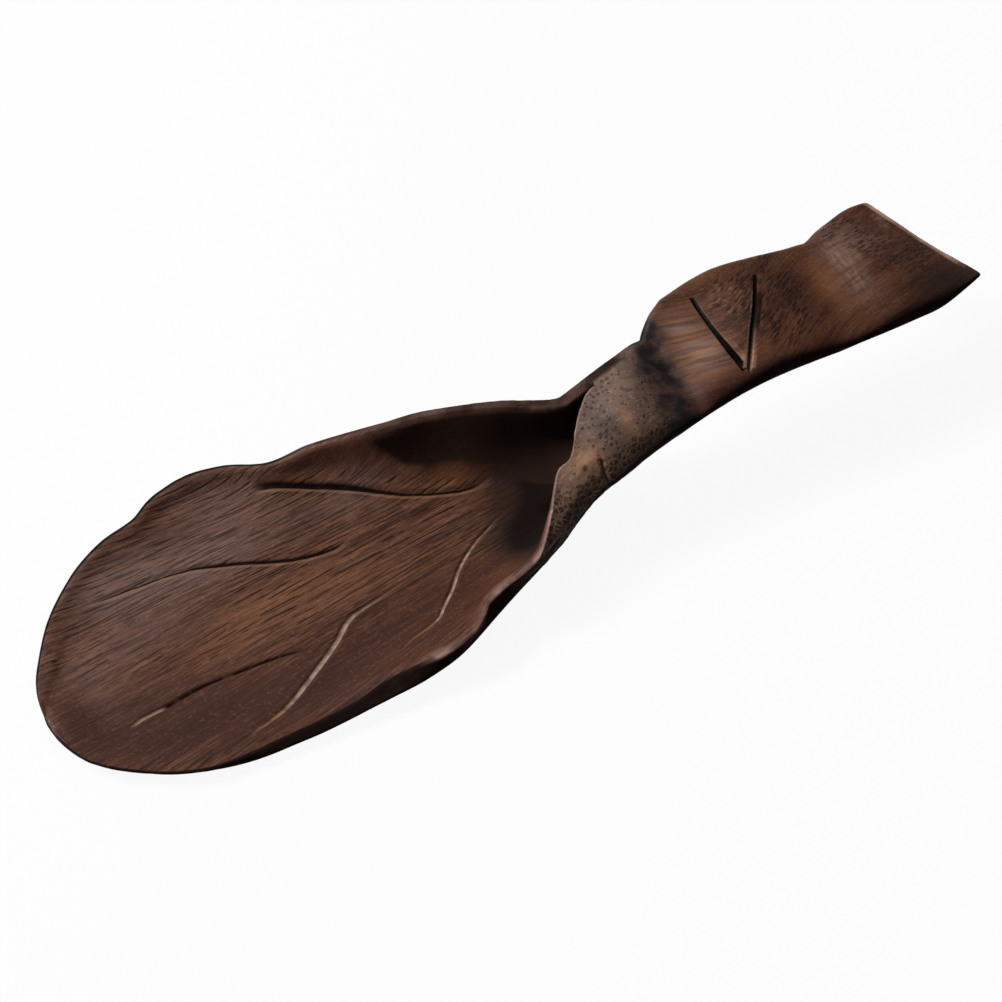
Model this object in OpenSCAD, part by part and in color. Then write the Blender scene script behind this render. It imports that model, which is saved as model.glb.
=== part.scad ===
// Tea scoop carved from one length of bamboo root, shaped as a leaf rolled into its own stem.
// X runs from the bowl's tip to the handle's end, Y to the far side, Z up from the table.
// The body is one loft. Guide curves run along the length: the far rim, the rolled near lip,
// the crown, the near flank and the underside. Each station joins them with a smooth section.
// The belly is then planed flat, and the V is cut into the handle's top.

/* [Bowl] */
// Length of the bowl, from its tip to the mouth of the throat
bowl_l = 91; // [84:1:98]
// Width across the widest scallops
bowl_w = 58; // [52:1:62]
// Height of the far rim at the mouth of the throat
bowl_h = 15.5; // [14:0.5:17]
// Thickness of the floor and walls
plate_t = 2; // [1.6:0.1:2.3]
// Width of the rim's flat top
rim_w = 1.3; // [1:0.1:1.5]

/* [Neck] */
// Length of the neck, from the mouth of the throat to the handle's first lobe
neck_l = 26; // [23:1:29]
// Width of the neck
neck_w = 17; // [15.5:0.5:18.5]
// Height of the neck's crown above the table
neck_h = 20; // [18.5:0.5:21]
// Thickness of the lip that rolls over the throat
lip_t = 1.5; // [1.2:0.1:1.8]
// Width of the rim's flat top where the lip meets it
seam_w = 2.5; // [2.1:0.1:2.8]
// Height that the rolled lip stands above the far rim where they meet
seam_step = 0.35; // [0.2:0.05:0.5]

/* [Handle] */
// Length of the handle, from its first lobe to its end
handle_l = 60; // [55:1:66]
// Width of the handle across its widest lobe
handle_w = 26; // [23:1:28]
// Height of the handle's crest above the table
handle_h = 23; // [21.5:0.5:25]
// How far the end cut slants back over the handle's width
end_cut = 8; // [6:0.5:10]

/* [Carved V] */
// Depth of the two cuts of the V on the handle's top
cut_depth = 1.2; // [0.8:0.1:1.5]
// Width of the two cuts
cut_w = 1.3; // [0.9:0.1:1.6]

/* [Smoothness] */
// Number of stations along the length
stations = 110; // [80:1:110]
// Number of steps between two guide points of a section
ring_steps = 4; // [3:1:4]

/* [Hidden] */
wood_colour = [0.33, 0.2, 0.14];

scoop_l = bowl_l + neck_l + handle_l;
tip_x = -scoop_l / 2;
end_x = scoop_l / 2;
neck_x = tip_x + bowl_l;
handle_x = neck_x + neck_l;
// The throat closes at this share of the neck
seam_share = 0.55;
seam_x = neck_x + neck_l * seam_share;

// Stations follow a cosine over this sweep, so that they crowd round the blunt tip
station_sweep = 120;
// The guide curves meet in a point this far beyond the blunt tip
tip_inset = 0.15;
// How far the rim's edge bulges outwards
edge_bulge = 0.15;
// The floor's corners lie this far in from the corners of the underside
floor_inset = 0.8;
// How far the far wall tucks under its rim on the bowl, swells on the neck and tucks on the handle
far_tuck = 2.4;
far_swell = 0.6;
handle_tuck = 0.3;
// How far the near wall's foot runs in, where the wall is low and where it is high
low_foot = 4.5;
high_foot = 1.4;
// How far the V's cutters reach above the handle's top, and the share of their width at their ends
cut_clear = 1;
cut_end_share = 0.4;
// Depth of the closing slit under the lip
slit_depth = 0.6;
// Width of the bevel along the handle's far edge
edge_w = 0.9;
// Half the bowl's width at which the tip has room for the full insets
tip_room = 8;

// Guide curves: each row is a place along its zone, then across and up, as shares of the zone's
// length, half width and height. The scallops of the leaf are in the far rim and the near lip.
far_bowl_shares = [
    [0, -0.2, 0.17], [0.022, 0.099, 0.178], [0.05, 0.243, 0.188], [0.093, 0.427, 0.21],
    [0.14, 0.575, 0.23], [0.2, 0.72, 0.25], [0.27, 0.828, 0.26], [0.34, 0.884, 0.27],
    [0.38, 0.954, 0.285], [0.41, 0.985, 0.3], [0.47, 1, 0.34], [0.54, 0.943, 0.37],
    [0.61, 0.817, 0.4], [0.69, 0.772, 0.5], [0.82, 0.602, 0.705], [0.89, 0.5, 0.83]
];
far_neck_shares = [
    [0, 0.922, 0.775], [0.19, 0.478, 0.81], [0.31, 0.275, 0.83], [0.42, 0.29, 0.865],
    [0.69, 0.329, 0.975], [0.88, 0.379, 1.03], [0.97, 0.4, 1.045]
];
far_handle_shares = [
    [0.01, 0.37, 0.925], [0.033, 0.463, 0.948], [0.075, 0.569, 0.97], [0.115, 0.654, 0.98],
    [0.28, 0.755, 1], [0.39, 0.738, 0.98], [0.525, 0.654, 0.955], [0.59, 0.65, 0.935],
    [0.62, 0.655, 0.92], [0.69, 0.777, 0.905], [0.79, 0.904, 0.88], [0.86, 0.972, 0.87],
    [0.93, 1, 0.865], [1, 0.985, 0.862]
];
lip_bowl_shares = [
    [0, -0.2, 0.17], [0.016, -0.51, 0.165], [0.033, -0.597, 0.16], [0.093, -0.767, 0.152],
    [0.14, -0.864, 0.15], [0.21, -0.938, 0.14], [0.34, -0.948, 0.135], [0.47, -0.95, 0.172],
    [0.54, -0.925, 0.222], [0.61, -0.945, 0.3], [0.65, -0.964, 0.343], [0.69, -0.964, 0.39],
    [0.722, -0.938, 0.432], [0.748, -0.885, 0.467], [0.77, -0.825, 0.5], [0.8, -0.802, 0.548],
    [0.85, -0.793, 0.631], [0.89, -0.75, 0.7], [0.945, -0.575, 0.83]
];
lip_neck_shares = [
    [0, -1.265, 0.75], [0.1, -1.2, 0.797], [0.19, -0.922, 0.835], [0.25, -0.677, 0.855],
    [0.385, -0.261, 0.9], [0.55, -0.01, 0.935]
];
flank_bowl_shares = [
    [0, -0.2, 0.09], [0.016, -0.46, 0.088], [0.033, -0.545, 0.085], [0.093, -0.735, 0.083],
    [0.14, -0.83, 0.08], [0.21, -0.92, 0.08], [0.27, -0.967, 0.08], [0.34, -0.985, 0.085],
    [0.41, -0.997, 0.095], [0.54, -1, 0.15], [0.61, -1, 0.19], [0.69, -0.959, 0.245],
    [0.82, -0.815, 0.39], [0.945, -0.688, 0.555]
];
flank_neck_shares = [[0, -2.07, 0.49], [0.19, -1.86, 0.55], [0.385, -1.76, 0.6], [0.69, -1.62, 0.67]];
flank_handle_shares = [
    [0, -1.012, 0.65], [0.14, -0.968, 0.7], [0.28, -0.983, 0.74], [0.525, -1.016, 0.73],
    [0.79, -0.993, 0.7], [0.86, -0.957, 0.7], [0.96, -0.86, 0.73], [1, -0.815, 0.75]
];
crown_bowl_shares = [
    [0, -0.22, 0.13], [0.54, -0.985, 0.185], [0.65, -0.98, 0.28], [0.7, -0.955, 0.335],
    [0.76, -0.87, 0.405], [0.82, -0.81, 0.5], [0.89, -0.76, 0.61], [0.945, -0.66, 0.735]
];
crown_neck_shares = [
    [0, -1.8, 0.68], [0.19, -1.44, 0.775], [0.385, -1.08, 0.88], [0.58, -0.85, 0.965],
    [0.74, -0.7, 0.99], [0.9, -0.55, 0.95]
];
crown_handle_shares = [
    [0.02, -0.3, 0.81], [0.13, -0.24, 0.895], [0.27, -0.2, 1], [0.4, -0.2, 0.965],
    [0.52, -0.2, 0.885], [0.62, -0.15, 0.895], [0.73, -0.1, 0.94], [0.86, -0.05, 0.885],
    [1, 0, 0.795]
];
// The underside's near corner. It lies a little below the table along the belly, which is planed flat.
under_bowl_shares = [
    [0, -0.2, 0.06], [0.055, -0.38, 0.008], [0.14, -0.53, -0.026], [0.47, -0.59, -0.026],
    [0.8, -0.52, -0.026]
];
under_neck_shares = [
    [0, -1.2, -0.02], [0.115, -0.98, -0.01], [0.23, -0.84, 0.02], [0.46, -0.85, 0.2],
    [0.69, -0.98, 0.46]
];
under_handle_shares = [
    [0.03, -0.65, 0.6], [0.16, -0.6, 0.69], [0.33, -0.58, 0.72], [0.52, -0.6, 0.71],
    [0.77, -0.56, 0.69], [1, -0.5, 0.64]
];

// The two cuts of the V: each row is a place along the handle and across its half width, then the
// share of the cut's full depth
left_cut_shares = [
    [0.18, 0.47, 0.1], [0.174, 0.2, 0.7], [0.172, -0.11, 0.85], [0.173, -0.4, 0.95],
    [0.177, -0.65, 1], [0.181, -0.8, 0.85], [0.182, -0.92, 0.15]
];
right_cut_shares = [
    [0.39, 0.4, 0.1], [0.35, 0.07, 0.6], [0.307, -0.21, 0.7], [0.267, -0.42, 0.75],
    [0.225, -0.65, 0.8], [0.19, -0.84, 0.6]
];

// The underside's far corner across the width, on the bowl, the neck and the handle
under_far_shares = [0.785, 0.68, 0.7];
// Share of the section's tilt that the handle's underside follows
under_tilt_share = 0.6;
// Height of the far flank between the underside and the rim
far_flank_share = 0.42;
// Place of the near shoulder between the flank and the crown, across and up
shoulder_shares = [0.14, 0.5];
// Height of the near wall's foot between the floor and the lip
foot_share = 0.4;
// Wall heights, of the bowl's, between which a wall counts as low and as high
wall_height_shares = [0.26, 0.84];
// Inset of the far wall's inner face across, of the wall's thickness, and its rise where the wall
// is low and where it is high
far_inset_share = 0.9;
far_rise_shares = [0.75, 0.45];
// Near the narrow, low tip the far wall's inner face stays within these shares from the floor's
// corner to the rim, across and up, and the near foot within a share from the flank to the floor
far_cap_shares = [0.4, 0.67];
foot_cap_share = 0.75;
// Thickness of the floor at the very tip
tip_floor_share = 0.6;
// Inset of the rolled lip's inner face, across and down, of the wall's thickness
roof_inner_shares = [0.6, 0.8];
// Where on the bowl the crown parts from the rim's edge
crown_part_shares = [0.54, 0.62];
// Where along the neck the bowl's form turns into the neck's
neck_blend_shares = [-0.31, 0.46];
// Where along the neck the lip's edge turns from upright to level, and its roof forms
lip_turn_shares = [-0.54, 0.08];
roof_shares = [-0.46, 0];
// Where along the neck the hollow's end wall begins, and where the lip runs into the seam
hollow_end_share = 0.04;
lip_merge_share = 0.19;
// Where along the neck the rim's flat top widens
rim_widen_shares = [-0.27, 0.23];
// Where along the neck that flat top narrows to the bevel
edge_shares = [0.6, 1.05];
// Where along the handle the neck's form turns into the handle's
handle_blend_shares = [-0.07, 0.26];
// Where along the handle the end cut's slant sets in
cut_start_share = 0.36;

meet_x = tip_x - tip_inset;
// Points of a guide curve from its shares of the three zones
function guide(bowl_rows, neck_rows, handle_rows) = concat(
    [for (r = bowl_rows) [mix(meet_x, neck_x, r.x), bowl_w / 2 * r.y, bowl_h * r.z]],
    [for (r = neck_rows) [neck_x + neck_l * r.x, neck_w / 2 * r.y, neck_h * r.z]],
    [for (r = handle_rows) [handle_x + handle_l * r.x, handle_w / 2 * r.y, handle_h * r.z]]
);
far_guide = guide(far_bowl_shares, far_neck_shares, far_handle_shares);
lip_guide = guide(lip_bowl_shares, lip_neck_shares, []);
flank_guide = guide(flank_bowl_shares, flank_neck_shares, flank_handle_shares);
crown_guide = guide(crown_bowl_shares, crown_neck_shares, crown_handle_shares);
under_guide = guide(under_bowl_shares, under_neck_shares, under_handle_shares);

function mix(a, b, k) = a * (1 - k) + b * k;
function unit_clamp(u) = min(1, max(0, u));
function ease(u) = let (c = unit_clamp(u)) c * c * (3 - 2 * c);
// Eased 0 to 1 between two places, given as shares of a length that starts at origin
function ramp(x, origin, length, shares) =
    ease((x - origin - length * shares[0]) / (length * (shares[1] - shares[0])));

// Angle of a place along the length, in which the rounded tip is a straight run
function phase(x) = acos(1 - (1 - cos(station_sweep)) * max(0, x - meet_x) / (end_x - meet_x));
function place(angle) = mix(meet_x, end_x, (1 - cos(angle)) / (1 - cos(station_sweep)));

// Cubic through two values with given slopes, h apart
function cubic(a, b, slope_a, slope_b, h, u) =
    a * (1 - 3 * u * u + 2 * u * u * u) + b * (3 * u * u - 2 * u * u * u)
    + (slope_a * (u - 2 * u * u + u * u * u) + slope_b * (u * u * u - u * u)) * h;
// Slope of the values v over the places t at point i
function slope(t, v, i) =
    let (a = max(0, i - 1), b = min(len(t) - 1, i + 1))
    (v[b] - v[a]) / (t[b] - t[a]);

// A guide curve's place across and up at a station
function on_guide(curve, x) =
    let (
        t = [for (p = curve) phase(p.x)],
        v = [for (p = curve) [p.y, p.z]],
        at = phase(x),
        i = max([for (k = [0:len(t) - 2]) if (k == 0 || at >= t[k]) k]),
        h = t[i + 1] - t[i]
    )
    cubic(v[i], v[i + 1], slope(t, v, i), slope(t, v, i + 1), h, unit_clamp((at - t[i]) / h));

// Points of a smooth curve through the corners of a section
function through(corners) =
    let (
        run = [for (i = [0:len(corners) - 2]) sqrt(norm(corners[i + 1] - corners[i]))],
        t = [for (i = 0, sum = 0; i <= len(run); sum = sum + (i < len(run) ? run[i] : 0), i = i + 1) sum]
    )
    [for (i = [0:len(run) - 1], k = [0:ring_steps - (i < len(run) - 1 ? 1 : 0)])
        cubic(corners[i], corners[i + 1], slope(t, corners, i), slope(t, corners, i + 1),
            run[i], k / ring_steps)];

function neck_blend(x) = ramp(x, neck_x, neck_l, neck_blend_shares);
function handle_blend(x) = ramp(x, handle_x, handle_l, handle_blend_shares);
// A value of the three zones, blended at a station
function zoned(x, values) =
    mix(mix(values[0], values[1], neck_blend(x)), values[2], handle_blend(x));

// Corners of the outer surface at a station, from the near lip round the underside to the far rim
function outer_corners(x) =
    let (
        far = on_guide(far_guide, x),
        flank = on_guide(flank_guide, x),
        seam = far + [-mix(seam_w, edge_w, ramp(x, neck_x, neck_l, edge_shares)), seam_step],
        lip_merge = ease(1 - (seam_x - x) / (neck_l * lip_merge_share)),
        lip = x < seam_x ? mix(on_guide(lip_guide, x), seam, lip_merge) : seam,
        edge = mix(lip, flank, 0.5) - [edge_bulge, 0],
        parted = unit_clamp((x - tip_x - bowl_l * crown_part_shares[0])
            / (bowl_l * (crown_part_shares[1] - crown_part_shares[0]))),
        crown = mix(edge, on_guide(crown_guide, x), parted),
        shoulder = [mix(flank.x, crown.x, shoulder_shares.x), mix(flank.y, crown.y, shoulder_shares.y)],
        near_under = on_guide(under_guide, x),
        tilt = (far.y - flank.y) * under_tilt_share * handle_blend(x),
        far_under = [mix(flank.x, far.x, zoned(x, under_far_shares)), near_under.y + tilt],
        far_flank = [far.x + zoned(x, [-far_tuck * spread(x), far_swell, -handle_tuck]),
            mix(far_under.y, far.y, far_flank_share)]
    )
    [lip, crown, shoulder, flank, near_under, far_under, far_flank, far];

// Share of the full insets that there is room for, near the blunt tip
function spread(x) =
    unit_clamp((on_guide(far_guide, x).x - on_guide(flank_guide, x).x) / (2 * tip_room));

// Eased 0 to 1 from a low to a high wall
function wall_height(z) =
    ease((z / bowl_h - wall_height_shares[0]) / (wall_height_shares[1] - wall_height_shares[0]));

// Corners of the hollow's surface at a station, from the near lip over the floor to the far rim
function inner_corners(x) =
    let (
        outer = outer_corners(x),
        lip = outer[0], crown = outer[1], flank = outer[3],
        near_under = outer[4], far_under = outer[5], far_flank = outer[6], far = outer[7],
        room = spread(x),
        turn = 90 * ramp(x, neck_x, neck_l, lip_turn_shares),
        near_rim = lip + [cos(turn), -sin(turn)] * lip_t * room,
        floor_t = plate_t * mix(tip_floor_share, 1, room),
        floor_z = max(0, near_under.y) + floor_t,
        far_floor_z = max(0, far_under.y) + floor_t,
        near_floor = [near_under.x + floor_inset * room, floor_z],
        far_floor = [far_under.x - floor_inset * room, far_floor_z],
        foot_run = (plate_t + mix(low_foot, high_foot, wall_height(lip.y))) * room,
        foot = [min(flank.x + foot_run, mix(flank.x, near_floor.x, foot_cap_share)),
            mix(floor_z, lip.y, foot_share)],
        roof = crown + [roof_inner_shares.x, -roof_inner_shares.y] * plate_t,
        wall = mix(mix(near_rim, foot, foot_share), roof, ramp(x, neck_x, neck_l, roof_shares)),
        far_rise = mix(far_rise_shares[0], far_rise_shares[1], wall_height(far.y)),
        far_wall = [
            max(far_flank.x - far_inset_share * room * plate_t, mix(far_floor.x, far.x, far_cap_shares.x)),
            min(far_flank.y + far_rise * plate_t, mix(far_floor.y, far.y, far_cap_shares.y))
        ],
        rim_in = mix(rim_w, seam_w * far_inset_share, ramp(x, neck_x, neck_l, rim_widen_shares)),
        far_rim = far - [rim_in * room, 0],
        hollow_x = neck_x + neck_l * hollow_end_share,
        closing = unit_clamp((x - hollow_x) / (seam_x - hollow_x)),
        shut = 1 - sqrt(1 - closing * closing),
        goal = mix(near_rim, far_rim, 0.5) - [0, slit_depth]
    )
    concat(
        [near_rim],
        [for (p = [wall, foot, near_floor, mix(near_floor, far_floor, 0.5), far_floor, far_wall])
            mix(p, goal, shut)],
        [far_rim]
    );

// The section's points in space, with the end cut on a slant
end_near_y = on_guide(flank_guide, end_x).x;
end_far_y = on_guide(far_guide, end_x).x;
function in_space(x, points) =
    let (lean = unit_clamp((x - handle_x - handle_l * cut_start_share) / (handle_l * (1 - cut_start_share))))
    [for (p = points)
        [x - lean * lean * end_cut * max(0, p.x - end_near_y) / (end_far_y - end_near_y), p.x, p.y]];

// Places of the stations. One of them is moved onto the seam.
first_angle = phase(tip_x);
even_places = [for (i = [0:stations]) place(mix(first_angle, station_sweep, i / stations))];
seam_i = max([for (i = [0:stations]) if (even_places[i] <= seam_x) i]);
places = [for (i = [0:stations]) i == seam_i ? seam_x : even_places[i]];

outer_rings = [for (x = places) in_space(x, through(outer_corners(x)))];
inner_rings = [for (i = [0:seam_i - 1]) in_space(places[i], through(inner_corners(places[i])))];
outer_n = len(outer_rings[0]);
inner_n = len(inner_rings[0]);

function outer_id(i, j) = i * outer_n + j;
function inner_id(i, j) = (stations + 1) * outer_n + i * inner_n + j;
// Two triangles of a quad that is given anticlockwise as seen from outside
function quad(a, b, c, d) = [[a, c, b], [a, d, c]];
// Triangles that close a ring, by rungs from its one side to the other
function rungs(ring) =
    let (n = len(ring) - 1, half = floor(n / 2))
    concat(
        [for (j = [0:half - 2]) each quad(ring[j], ring[j + 1], ring[n - j - 1], ring[n - j])],
        n % 2 == 0
            ? [[ring[half - 1], ring[half + 1], ring[half]]]
            : quad(ring[half - 1], ring[half], ring[n - half], ring[n - half + 1])
    );

// Height of the handle's top at a place across a station
function top_z(x, y) =
    let (p = through(outer_corners(x)))
    lookup(y, [for (k = [0:3 * ring_steps]) [p[k].x, p[k].y]]);

// A wedge that cuts one line of the V, open above the handle's top
module vein_cut(rows) {
    path = [for (r = rows) [handle_x + handle_l * r.x, handle_w / 2 * r.y]];
    wedge = [for (i = [0:len(rows) - 1]) let (
        x = path[i].x, y = path[i].y, z = top_z(x, y),
        deep = cut_depth * rows[i].z,
        side = cut_w / 2 * (1 + cut_clear / cut_depth) * mix(cut_end_share, 1, rows[i].z)
    ) each [[x - side, y, z + cut_clear], [x + side, y, z + cut_clear], [x, y, z - deep]]];
    last = len(wedge) - 3;
    polyhedron(
        points = wedge,
        faces = concat(
            [[0, 2, 1], [last, last + 1, last + 2]],
            [for (i = [0:3:last - 3], j = [0:2]) let (k = (j + 1) % 3)
                each quad(i + k, i + j, i + j + 3, i + k + 3)]
        )
    );
}

// Everything below the table, which planes the belly flat
module below_table() {
    translate([tip_x - bowl_l, -bowl_w, -bowl_h])
        cube([scoop_l + 2 * bowl_l, 2 * bowl_w, bowl_h]);
}

module scoop() {
    difference() {
        body();
        below_table();
        vein_cut(left_cut_shares);
        vein_cut(right_cut_shares);
    }
}

module body() {
    outer_skin = [for (i = [0:stations - 1], j = [0:outer_n - 2])
        each quad(outer_id(i, j), outer_id(i, j + 1), outer_id(i + 1, j + 1), outer_id(i + 1, j))];
    hollow_skin = [for (i = [0:seam_i - 2], j = [0:inner_n - 2])
        each quad(inner_id(i, j), inner_id(i + 1, j), inner_id(i + 1, j + 1), inner_id(i, j + 1))];
    rim_tops = [for (i = [0:seam_i - 2]) each concat(
        quad(outer_id(i, 0), outer_id(i + 1, 0), inner_id(i + 1, 0), inner_id(i, 0)),
        quad(outer_id(i, outer_n - 1), inner_id(i, inner_n - 1),
            inner_id(i + 1, inner_n - 1), outer_id(i + 1, outer_n - 1)))];
    closed_top = [for (i = [seam_i - 1:stations - 1])
        each quad(outer_id(i, outer_n - 1), outer_id(i, 0), outer_id(i + 1, 0), outer_id(i + 1, outer_n - 1))];
    throat_end = rungs(concat(
        [outer_id(seam_i - 1, outer_n - 1)],
        [for (j = [inner_n - 1:-1:0]) inner_id(seam_i - 1, j)],
        [outer_id(seam_i - 1, 0)]));
    tip_face = [for (j = [0:outer_n - 2])
        each quad(outer_id(0, j), inner_id(0, j), inner_id(0, j + 1), outer_id(0, j + 1))];
    end_face = rungs([for (j = [0:outer_n - 1]) outer_id(stations, j)]);
    color(wood_colour)
        polyhedron(
            points = concat([for (ring = outer_rings) each ring], [for (ring = inner_rings) each ring]),
            faces = concat(outer_skin, hollow_skin, rim_tops, closed_top, throat_end, tip_face, end_face),
            convexity = 6
        );
}

scoop();
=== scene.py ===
"""A leaf-shaped tea scoop carved from one length of dark, carbonised bamboo root.

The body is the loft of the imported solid, made again at a finer step, with rounded edges,
the incised veins of the bowl, the V on the handle and the marks of the carving knife.
Lengths are in millimetres until the mesh is written. X runs from the bowl's tip to the
handle's end, Y to the far side, Z up.
"""
import math

import bpy
import numpy as np
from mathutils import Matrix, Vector


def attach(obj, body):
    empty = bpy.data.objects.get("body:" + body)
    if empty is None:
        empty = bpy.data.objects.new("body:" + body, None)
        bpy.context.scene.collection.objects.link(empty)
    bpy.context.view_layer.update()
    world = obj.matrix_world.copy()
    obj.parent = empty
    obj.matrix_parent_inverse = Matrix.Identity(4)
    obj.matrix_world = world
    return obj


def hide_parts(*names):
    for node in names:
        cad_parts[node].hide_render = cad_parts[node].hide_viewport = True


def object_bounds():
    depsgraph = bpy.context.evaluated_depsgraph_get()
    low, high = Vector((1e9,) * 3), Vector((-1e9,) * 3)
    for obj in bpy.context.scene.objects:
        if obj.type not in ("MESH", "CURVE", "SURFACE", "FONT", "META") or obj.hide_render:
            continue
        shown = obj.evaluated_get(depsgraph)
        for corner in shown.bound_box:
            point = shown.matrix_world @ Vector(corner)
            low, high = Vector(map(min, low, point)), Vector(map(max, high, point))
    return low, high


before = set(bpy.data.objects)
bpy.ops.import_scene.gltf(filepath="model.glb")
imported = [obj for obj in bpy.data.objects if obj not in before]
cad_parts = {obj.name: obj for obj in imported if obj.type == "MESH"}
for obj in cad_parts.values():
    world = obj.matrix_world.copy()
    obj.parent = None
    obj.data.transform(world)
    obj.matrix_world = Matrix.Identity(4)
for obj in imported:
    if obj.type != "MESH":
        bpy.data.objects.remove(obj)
cad_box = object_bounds()

MM = 0.001
# The solid's own box, which the carved body stays within
BOX_LOW = np.array(cad_box[0]) / MM
BOX_HIGH = np.array(cad_box[1]) / MM

# Sizes of the scoop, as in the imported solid
BOWL_L, BOWL_W, BOWL_H = 91.0, 58.0, 15.5
PLATE_T, RIM_W = 2.0, 1.3
NECK_L, NECK_W, NECK_H = 26.0, 17.0, 20.0
LIP_T, SEAM_W, SEAM_STEP = 1.5, 2.5, 0.35
HANDLE_L, HANDLE_W, HANDLE_H = 60.0, 26.0, 23.0
END_CUT, SEAM_SHARE = 8.0, 0.55
EDGE_BULGE, FLOOR_INSET, FAR_TUCK, FAR_SWELL, HANDLE_TUCK = 0.15, 0.8, 2.4, 0.6, 0.3
LOW_FOOT, HIGH_FOOT, SLIT_DEPTH, EDGE_W, TIP_ROOM, TIP_INSET = 4.5, 1.4, 0.6, 0.9, 8.0, 0.15
STATION_SWEEP = math.radians(120)

SCOOP_L = BOWL_L + NECK_L + HANDLE_L
TIP_X, END_X = -SCOOP_L / 2, SCOOP_L / 2
NECK_X = TIP_X + BOWL_L
HANDLE_X = NECK_X + NECK_L
SEAM_X = NECK_X + NECK_L * SEAM_SHARE
MEET_X = TIP_X - TIP_INSET

# Guide curves of the loft: a place along the zone, then across and up, as shares of its sizes
FAR = (
    [[0, -0.2, 0.17], [0.022, 0.099, 0.178], [0.05, 0.243, 0.188], [0.093, 0.427, 0.21],
     [0.14, 0.575, 0.23], [0.2, 0.72, 0.25], [0.27, 0.828, 0.26], [0.34, 0.884, 0.27],
     [0.38, 0.954, 0.285], [0.41, 0.985, 0.3], [0.47, 1, 0.34], [0.54, 0.943, 0.37],
     [0.61, 0.817, 0.4], [0.69, 0.772, 0.5], [0.82, 0.602, 0.705], [0.89, 0.5, 0.83]],
    [[0, 0.922, 0.775], [0.19, 0.478, 0.81], [0.31, 0.275, 0.83], [0.42, 0.29, 0.865],
     [0.69, 0.329, 0.975], [0.88, 0.379, 1.03], [0.97, 0.4, 1.045]],
    [[0.01, 0.37, 0.925], [0.033, 0.463, 0.948], [0.075, 0.569, 0.97], [0.115, 0.654, 0.98],
     [0.28, 0.755, 1], [0.39, 0.738, 0.98], [0.525, 0.654, 0.955], [0.59, 0.65, 0.935],
     [0.62, 0.655, 0.92], [0.69, 0.777, 0.905], [0.79, 0.904, 0.88], [0.86, 0.972, 0.87],
     [0.93, 1, 0.865], [1, 0.985, 0.862]],
)
LIP = (
    [[0, -0.2, 0.17], [0.016, -0.51, 0.165], [0.033, -0.597, 0.16], [0.093, -0.767, 0.152],
     [0.14, -0.864, 0.15], [0.21, -0.938, 0.14], [0.34, -0.948, 0.135], [0.47, -0.95, 0.172],
     [0.54, -0.925, 0.222], [0.61, -0.945, 0.3], [0.65, -0.964, 0.343], [0.69, -0.964, 0.39],
     [0.722, -0.938, 0.432], [0.748, -0.885, 0.467], [0.77, -0.825, 0.5], [0.8, -0.802, 0.548],
     [0.85, -0.793, 0.631], [0.89, -0.75, 0.7], [0.945, -0.575, 0.83]],
    [[0, -1.265, 0.75], [0.1, -1.2, 0.797], [0.19, -0.922, 0.835], [0.25, -0.677, 0.855],
     [0.385, -0.261, 0.9], [0.55, -0.01, 0.935]],
    [],
)
FLANK = (
    [[0, -0.2, 0.09], [0.016, -0.46, 0.088], [0.033, -0.545, 0.085], [0.093, -0.735, 0.083],
     [0.14, -0.83, 0.08], [0.21, -0.92, 0.08], [0.27, -0.967, 0.08], [0.34, -0.985, 0.085],
     [0.41, -0.997, 0.095], [0.54, -1, 0.15], [0.61, -1, 0.19], [0.69, -0.959, 0.245],
     [0.82, -0.815, 0.39], [0.945, -0.688, 0.555]],
    [[0, -2.07, 0.49], [0.19, -1.86, 0.55], [0.385, -1.76, 0.6], [0.69, -1.62, 0.67]],
    [[0, -1.012, 0.65], [0.14, -0.968, 0.7], [0.28, -0.983, 0.74], [0.525, -1.016, 0.73],
     [0.79, -0.993, 0.7], [0.86, -0.957, 0.7], [0.96, -0.86, 0.73], [1, -0.815, 0.75]],
)
CROWN = (
    [[0, -0.22, 0.13], [0.54, -0.985, 0.185], [0.65, -0.98, 0.28], [0.7, -0.955, 0.335],
     [0.76, -0.87, 0.405], [0.82, -0.81, 0.5], [0.89, -0.76, 0.61], [0.945, -0.66, 0.735]],
    [[0, -1.8, 0.68], [0.19, -1.44, 0.775], [0.385, -1.08, 0.88], [0.58, -0.85, 0.965],
     [0.74, -0.7, 0.99], [0.9, -0.55, 0.95]],
    [[0.02, -0.3, 0.81], [0.13, -0.24, 0.895], [0.27, -0.2, 1], [0.4, -0.2, 0.965],
     [0.52, -0.2, 0.885], [0.62, -0.15, 0.895], [0.73, -0.1, 0.94], [0.86, -0.05, 0.885],
     [1, 0, 0.795]],
)
UNDER = (
    [[0, -0.2, 0.06], [0.055, -0.38, 0.008], [0.14, -0.53, -0.026], [0.47, -0.59, -0.026],
     [0.8, -0.52, -0.026]],
    [[0, -1.2, -0.02], [0.115, -0.98, -0.01], [0.23, -0.84, 0.02], [0.46, -0.85, 0.2],
     [0.69, -0.98, 0.46]],
    [[0.03, -0.65, 0.6], [0.16, -0.6, 0.69], [0.33, -0.58, 0.72], [0.52, -0.6, 0.71],
     [0.77, -0.56, 0.69], [1, -0.5, 0.64]],
)

# Shares that shape the sections between the guide curves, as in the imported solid
UNDER_FAR = (0.785, 0.68, 0.7)
UNDER_TILT, FAR_FLANK, FOOT, FOOT_CAP = 0.6, 0.42, 0.4, 0.75
SHOULDER, WALL_HEIGHT, FAR_RISE = (0.14, 0.5), (0.26, 0.84), (0.75, 0.45)
FAR_INSET, FAR_CAP, TIP_FLOOR = 0.9, (0.4, 0.67), 0.6
ROOF_INNER = (0.6, -0.8)
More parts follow.
